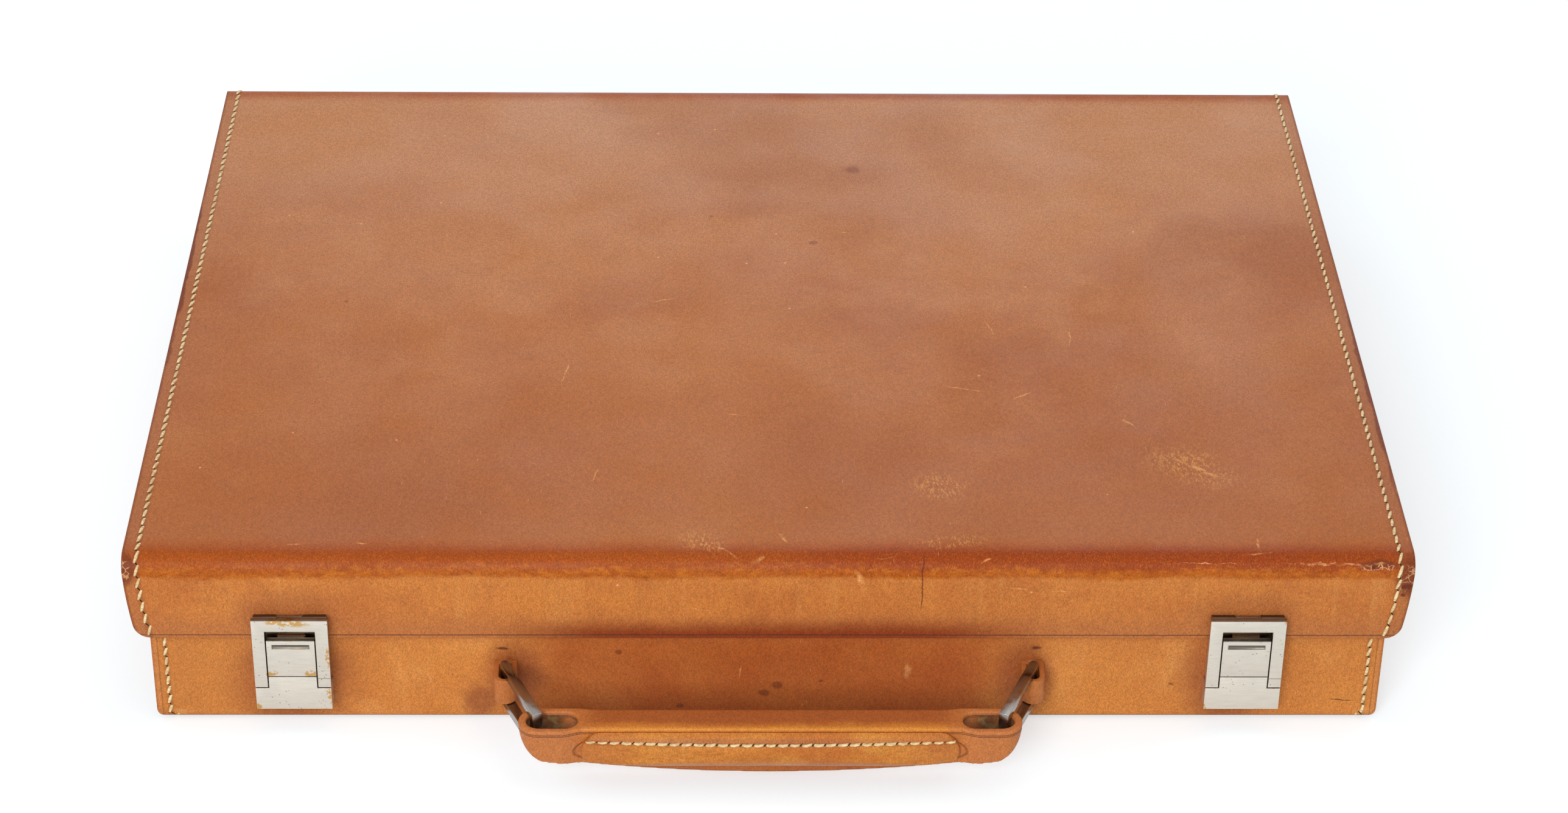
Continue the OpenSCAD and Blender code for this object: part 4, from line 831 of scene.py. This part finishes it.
def lining_pad(node, name, body, facing):
    """A thin pad in its CAD solid's box, its shown face crowned and rolled down at the edges."""
    (left, front, low), (right, back, high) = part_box(node)
    centre = ((left + right) / 2, (front + back) / 2, (low + high) / 2)
    bpy.ops.mesh.primitive_cube_add(size=1, location=centre)
    pad = bpy.context.object
    pad.name = name
    pad.scale = (right - left, back - front, high - low)
    bpy.ops.object.transform_apply(location=True, rotation=True, scale=True)
    bpy.ops.object.mode_set(mode="EDIT")
    roll = 5 * mm
    cuts = [roll * share for share in (0.12, 0.35, 0.65, 1)]
    for near, far, normal in ((left, right, (1, 0, 0)), (front, back, (0, 1, 0))):
        even = [near + (far - near) * i / 24 for i in range(1, 24)]
        for place in [near + c for c in cuts] + even + [far - c for c in cuts]:
            bpy.ops.mesh.select_all(action="SELECT")
            bpy.ops.mesh.bisect(plane_co=tuple(v * place for v in normal), plane_no=normal, use_fill=False)
    bm = bmesh.from_edit_mesh(pad.data)
    thick = high - low
    for v in bm.verts:
        shown = v.co.z > (low + high) / 2 if facing > 0 else v.co.z < (low + high) / 2
        if shown:
            edge = min(v.co.x - left, right - v.co.x, v.co.y - front, back - v.co.y)
            rolled = 0.75 * (1 - min(edge / roll, 1)) ** 2
            uneven = 0.12 * (0.5 + 0.5 * math.sin(v.co.x * 61 + 2 * math.sin(v.co.y * 47)))
            v.co.z -= facing * thick * min(rolled + uneven, 0.8)
    bmesh.update_edit_mesh(pad.data)
    bpy.ops.object.mode_set(mode="OBJECT")
    finish_piece(pad, body, "suede", [suede], node)


suede = napped("suede_lining", dye(190, 154, 110), dye(168, 132, 92), dye(208, 174, 132))
lining_pad("base_floor_pad", "tray_pad", "case", 1)
lining_pad("lid_ceiling_pad", "lid_pad", "lid", -1)
filed("base_liner", "tray_lining", "case", "suede", [suede], 0.35 * mm, 3)
filed("lid_liner", "lid_lining", "lid", "suede", [suede], 0.35 * mm, 3)
coat(sawn("tray_wood", dye(196, 156, 108), dye(164, 118, 74)), "base_carcass", "lid_carcass")
frame_leather = tanned("frame_leather", dye(160, 92, 50), dye(138, 74, 40), dye(182, 112, 66))
filed("mirror_frame", "mirror_rim", "lid", "frame_leather", [frame_leather], 0.9 * mm, 4)
silvered = Finish("mirror_silver")
spotted = silvered.ramp(silvered.noise(120, 5, 0.7), 0.66, 0.74, 0, 0.5)
silvered.plug(silvered.blend(spotted, dye(238, 242, 240), dye(170, 158, 140)), silvered.shader["Base Color"])
silvered.plug(silvered.ramp(spotted, 0, 0.5, 0.02, 0.12), silvered.shader["Roughness"])
silvered.shader["Metallic"].default_value = 1
coat(silvered.made, "mirror_glass")

# Handle links: bent square wire, nickel plated and darkened with age, with their bevels painted bright as a
# highlight.
aged = plated("link_nickel", dye(146, 142, 138), dye(150, 122, 84), 0.2, 0.66)
link_bevel_highlight = plated("link_edge_highlight", dye(232, 226, 214), dye(170, 142, 100), 0.2, 0.66)
for side in ("left", "right"):
    filed("link_" + side, "handle_link_" + side, "link_" + side, "link_metal", [aged, link_bevel_highlight], 0.4 * mm)


# Handle: layers of leather glued and sewn round a core, dressed smooth, with an eye at each end.
def moulded(node, name, voxel, rounds, body, slot, material):
    """A leather piece with softly rounded edges, made from a merged copy of its CAD solid."""
    piece = merged_copy(node, name, False)
    remake = piece.modifiers.new("remake", "REMESH")
    remake.mode = "VOXEL"
    remake.voxel_size = voxel
    bpy.ops.object.modifier_apply(modifier="remake")
    ease = piece.modifiers.new("ease", "SMOOTH")
    ease.factor = 0.5
    ease.iterations = rounds
    bpy.ops.object.modifier_apply(modifier="ease")
    return finish_piece(piece, body, slot, [material], node)


(_, core_front, _), (_, _, core_top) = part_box("handle_core")
(_, pad_front, pad_low), (pad_right, _, pad_top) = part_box("handle_grip")
grip_seam_z = core_top - 3.7 * mm


def handle_creases(f):
    """Two creased lines under the top edge, and a curved one at each end of the pad."""
    lines = None
    for depth in (1.5 * mm, 2.1 * mm):
        line = f.near(f.z, core_top - depth, 0, 0.26 * mm, 1)
        lines = f.calc("MAXIMUM", lines, line) if lines else line
    ring = f.near(f.reach((0, -208, 16.5), (66.6, 12, 12)), 1, 0, 0.012)
    ring = f.times(ring, f.ramp(f.calc("ABSOLUTE", f.x), 63.2 * mm, 63.8 * mm))
    return f.calc("MAXIMUM", lines, ring)


def handle_wear_and_light(f, skin):
    """A painted highlight in orange along the top's front edge, a golden front in the middle, painted shade
    toward the back and under the pad, and browner ends.
    """
    wobble = f.wander(60, 5 * mm)
    y = f.calc("ADD", f.y, wobble)
    wide = f.calc("ABSOLUTE", f.x)
    top = f.ramp(f.z, core_top - 1 * mm, core_top - 0.3 * mm)
    middle = f.ramp(wide, 56 * mm, 70 * mm, 1, 0)
    # Painted shade on the top toward the back, next to the case.
    back = f.times(top, middle, f.ramp(y, core_front + 4 * mm, core_front + 7 * mm, 0, 0.85))
    skin = f.blend(back, skin, dye(164, 88, 47))
    # A painted highlight along the rounded front edge of the top.
    front_edge_highlight = f.times(f.ramp(f.z, core_top - 1.4 * mm, core_top - 0.4 * mm),
                  f.ramp(y, core_front + 5 * mm, core_front + 2.5 * mm), middle, 0.75)
    skin = f.blend(front_edge_highlight, skin, dye(214, 136, 52))
    # The core's front in the middle is golden like the pad, partly a painted highlight.
    shown = f.times(middle, f.ramp(y, core_front + 2.5 * mm, core_front + 1 * mm, 0, 0.85))
    skin = f.blend(shown, skin, dye(206, 128, 56))
    ends = f.ramp(wide, 54 * mm, 72 * mm)
    skin = f.blend(f.times(ends, 0.65), skin, dye(186, 112, 68))
    # Painted shade on the core under the pad's lower edge.
    under = f.times(f.ramp(f.z, pad_low + 1.2 * mm, pad_low - 0.2 * mm), middle)
    skin = f.blend(f.times(under, 0.6), skin, dye(146, 74, 44))
    eyes = f.marks([((x, -201.45, 20), (10.5, 5.4, 30)) for x in (74, -74)], None, 0.25)
    eyes = f.times(eyes, f.ramp(f.z, core_top - 0.9 * mm, core_top - 1.8 * mm))
    verdigris = f.blend(f.ramp(f.noise(380, 4), 0.45, 0.6), dye(70, 48, 30), dye(104, 100, 66))
    skin = f.blend(f.times(eyes, 0.85), skin, verdigris)
    # The creases are fainter in the middle, where the painted highlight lies over them.
    creased = f.times(handle_creases(f), f.ramp(middle, 0, 1, 0.6, 0.3))
    return f.blend(creased, skin, dye(112, 54, 28))


def pad_wear_and_light(f, skin):
    """Streaked along its length, with a painted highlight on its crown and, along its rolled lower edge, a
    painted reflection, a painted highlight and painted shade.
    """
    drawn = f.noise(1, 4, 0.65, at=f.drawn((150, 500, 620), (0, 0.12, 0)))
    skin = f.blend(f.ramp(drawn, 0.46, 0.66, 0, 0.55), skin, dye(172, 98, 40))
    wide = f.calc("ABSOLUTE", f.x)
    skin = f.blend(f.ramp(wide, 38 * mm, 63 * mm, 0, 0.6), skin, dye(182, 106, 56))
    skin = f.blend(f.ramp(f.z, pad_top - 2.4 * mm, pad_top - 0.3 * mm, 0, 0.5), skin, dye(186, 108, 48))
    # A painted highlight on the crown of the pad.
    crown_highlight = f.times(f.ramp(f.noise(38, 3), 0.46, 0.66), f.ramp(wide, 60 * mm, 30 * mm, 0, 0.45))
    skin = f.blend(crown_highlight, skin, dye(218, 146, 62))
    # A grey painted reflection, then a bright painted highlight, where the lower edge rolls under.
    skin = f.blend(f.ramp(f.z, pad_low + 3.4 * mm, pad_low + 1.2 * mm, 0, 0.7), skin, dye(168, 118, 108))
    lower_edge_highlight = f.near(f.z, pad_low + 1.7 * mm, 0, 0.5 * mm, 0.5)
    skin = f.blend(lower_edge_highlight, skin, dye(232, 190, 160))
    # Painted shade under the rolled lower edge.
    under = f.times(f.ramp(f.z, pad_low + 1.2 * mm, pad_low + 0.4 * mm), 0.7)
    skin = f.blend(under, skin, dye(132, 68, 44))
    sewn = f.near(f.z, grip_seam_z, 0.7 * mm, 1.5 * mm, 0.4)
    return f.blend(sewn, skin, dye(138, 74, 32))


handle_leather = tanned("handle_leather", dye(198, 118, 54), dye(180, 100, 46), dye(214, 138, 68), 0.4, 0.9,
                        handle_wear_and_light, handle_creases)
pad_leather = tanned("pad_leather", dye(204, 127, 56), dye(188, 108, 46), dye(222, 150, 72), 0.38, 1.0,
                     pad_wear_and_light)
moulded("handle_core", "handle_body", 0.45 * mm, 4, "handle", "handle_leather", handle_leather)
grip = moulded("handle_grip", "grip_pad", 0.4 * mm, 5, "handle", "handle_leather", pad_leather)
grip_pitch, grip_stitches, grip_bow = 4.05 * mm, 31, 2.15 * mm
for name, count, shift, sunk, size, width, lean, thick, crescent, material in (
        ("grip_stitches", grip_stitches, 0, 0.02 * mm,
         3.75 * mm, 1.45 * mm, 4, 0.4, 0.4, linen),
        ("grip_slits", grip_stitches - 1, grip_pitch / 2, 0.1 * mm,
         1.5 * mm, 0.42 * mm, 48, 0.25, 1.0, slit_shade)):
    points = []
    for i in range(count):
        x = grip_pitch * (i - (grip_stitches - 1) / 2) + shift
        y = pad_front + grip_bow * (x / pad_right) ** 2 + sunk
        points.append((Vector((x, y, grip_seam_z)), Vector((1, 0, 0)), Vector((0, -1, 0))))
    seam(name, points, size, width, lean, "handle", "handle_leather", material, thick, crescent)

# Leather loops that hold the links, with their tails through the front wall.
loop_leather = tanned("loop_leather", dye(188, 112, 60), dye(168, 94, 52), dye(206, 134, 78), 0.45, 0.7)
for side in ("left", "right"):
    moulded("handle_loop_" + side, "loop_" + side, 0.3 * mm, 4, "case", "handle_leather", loop_leather)
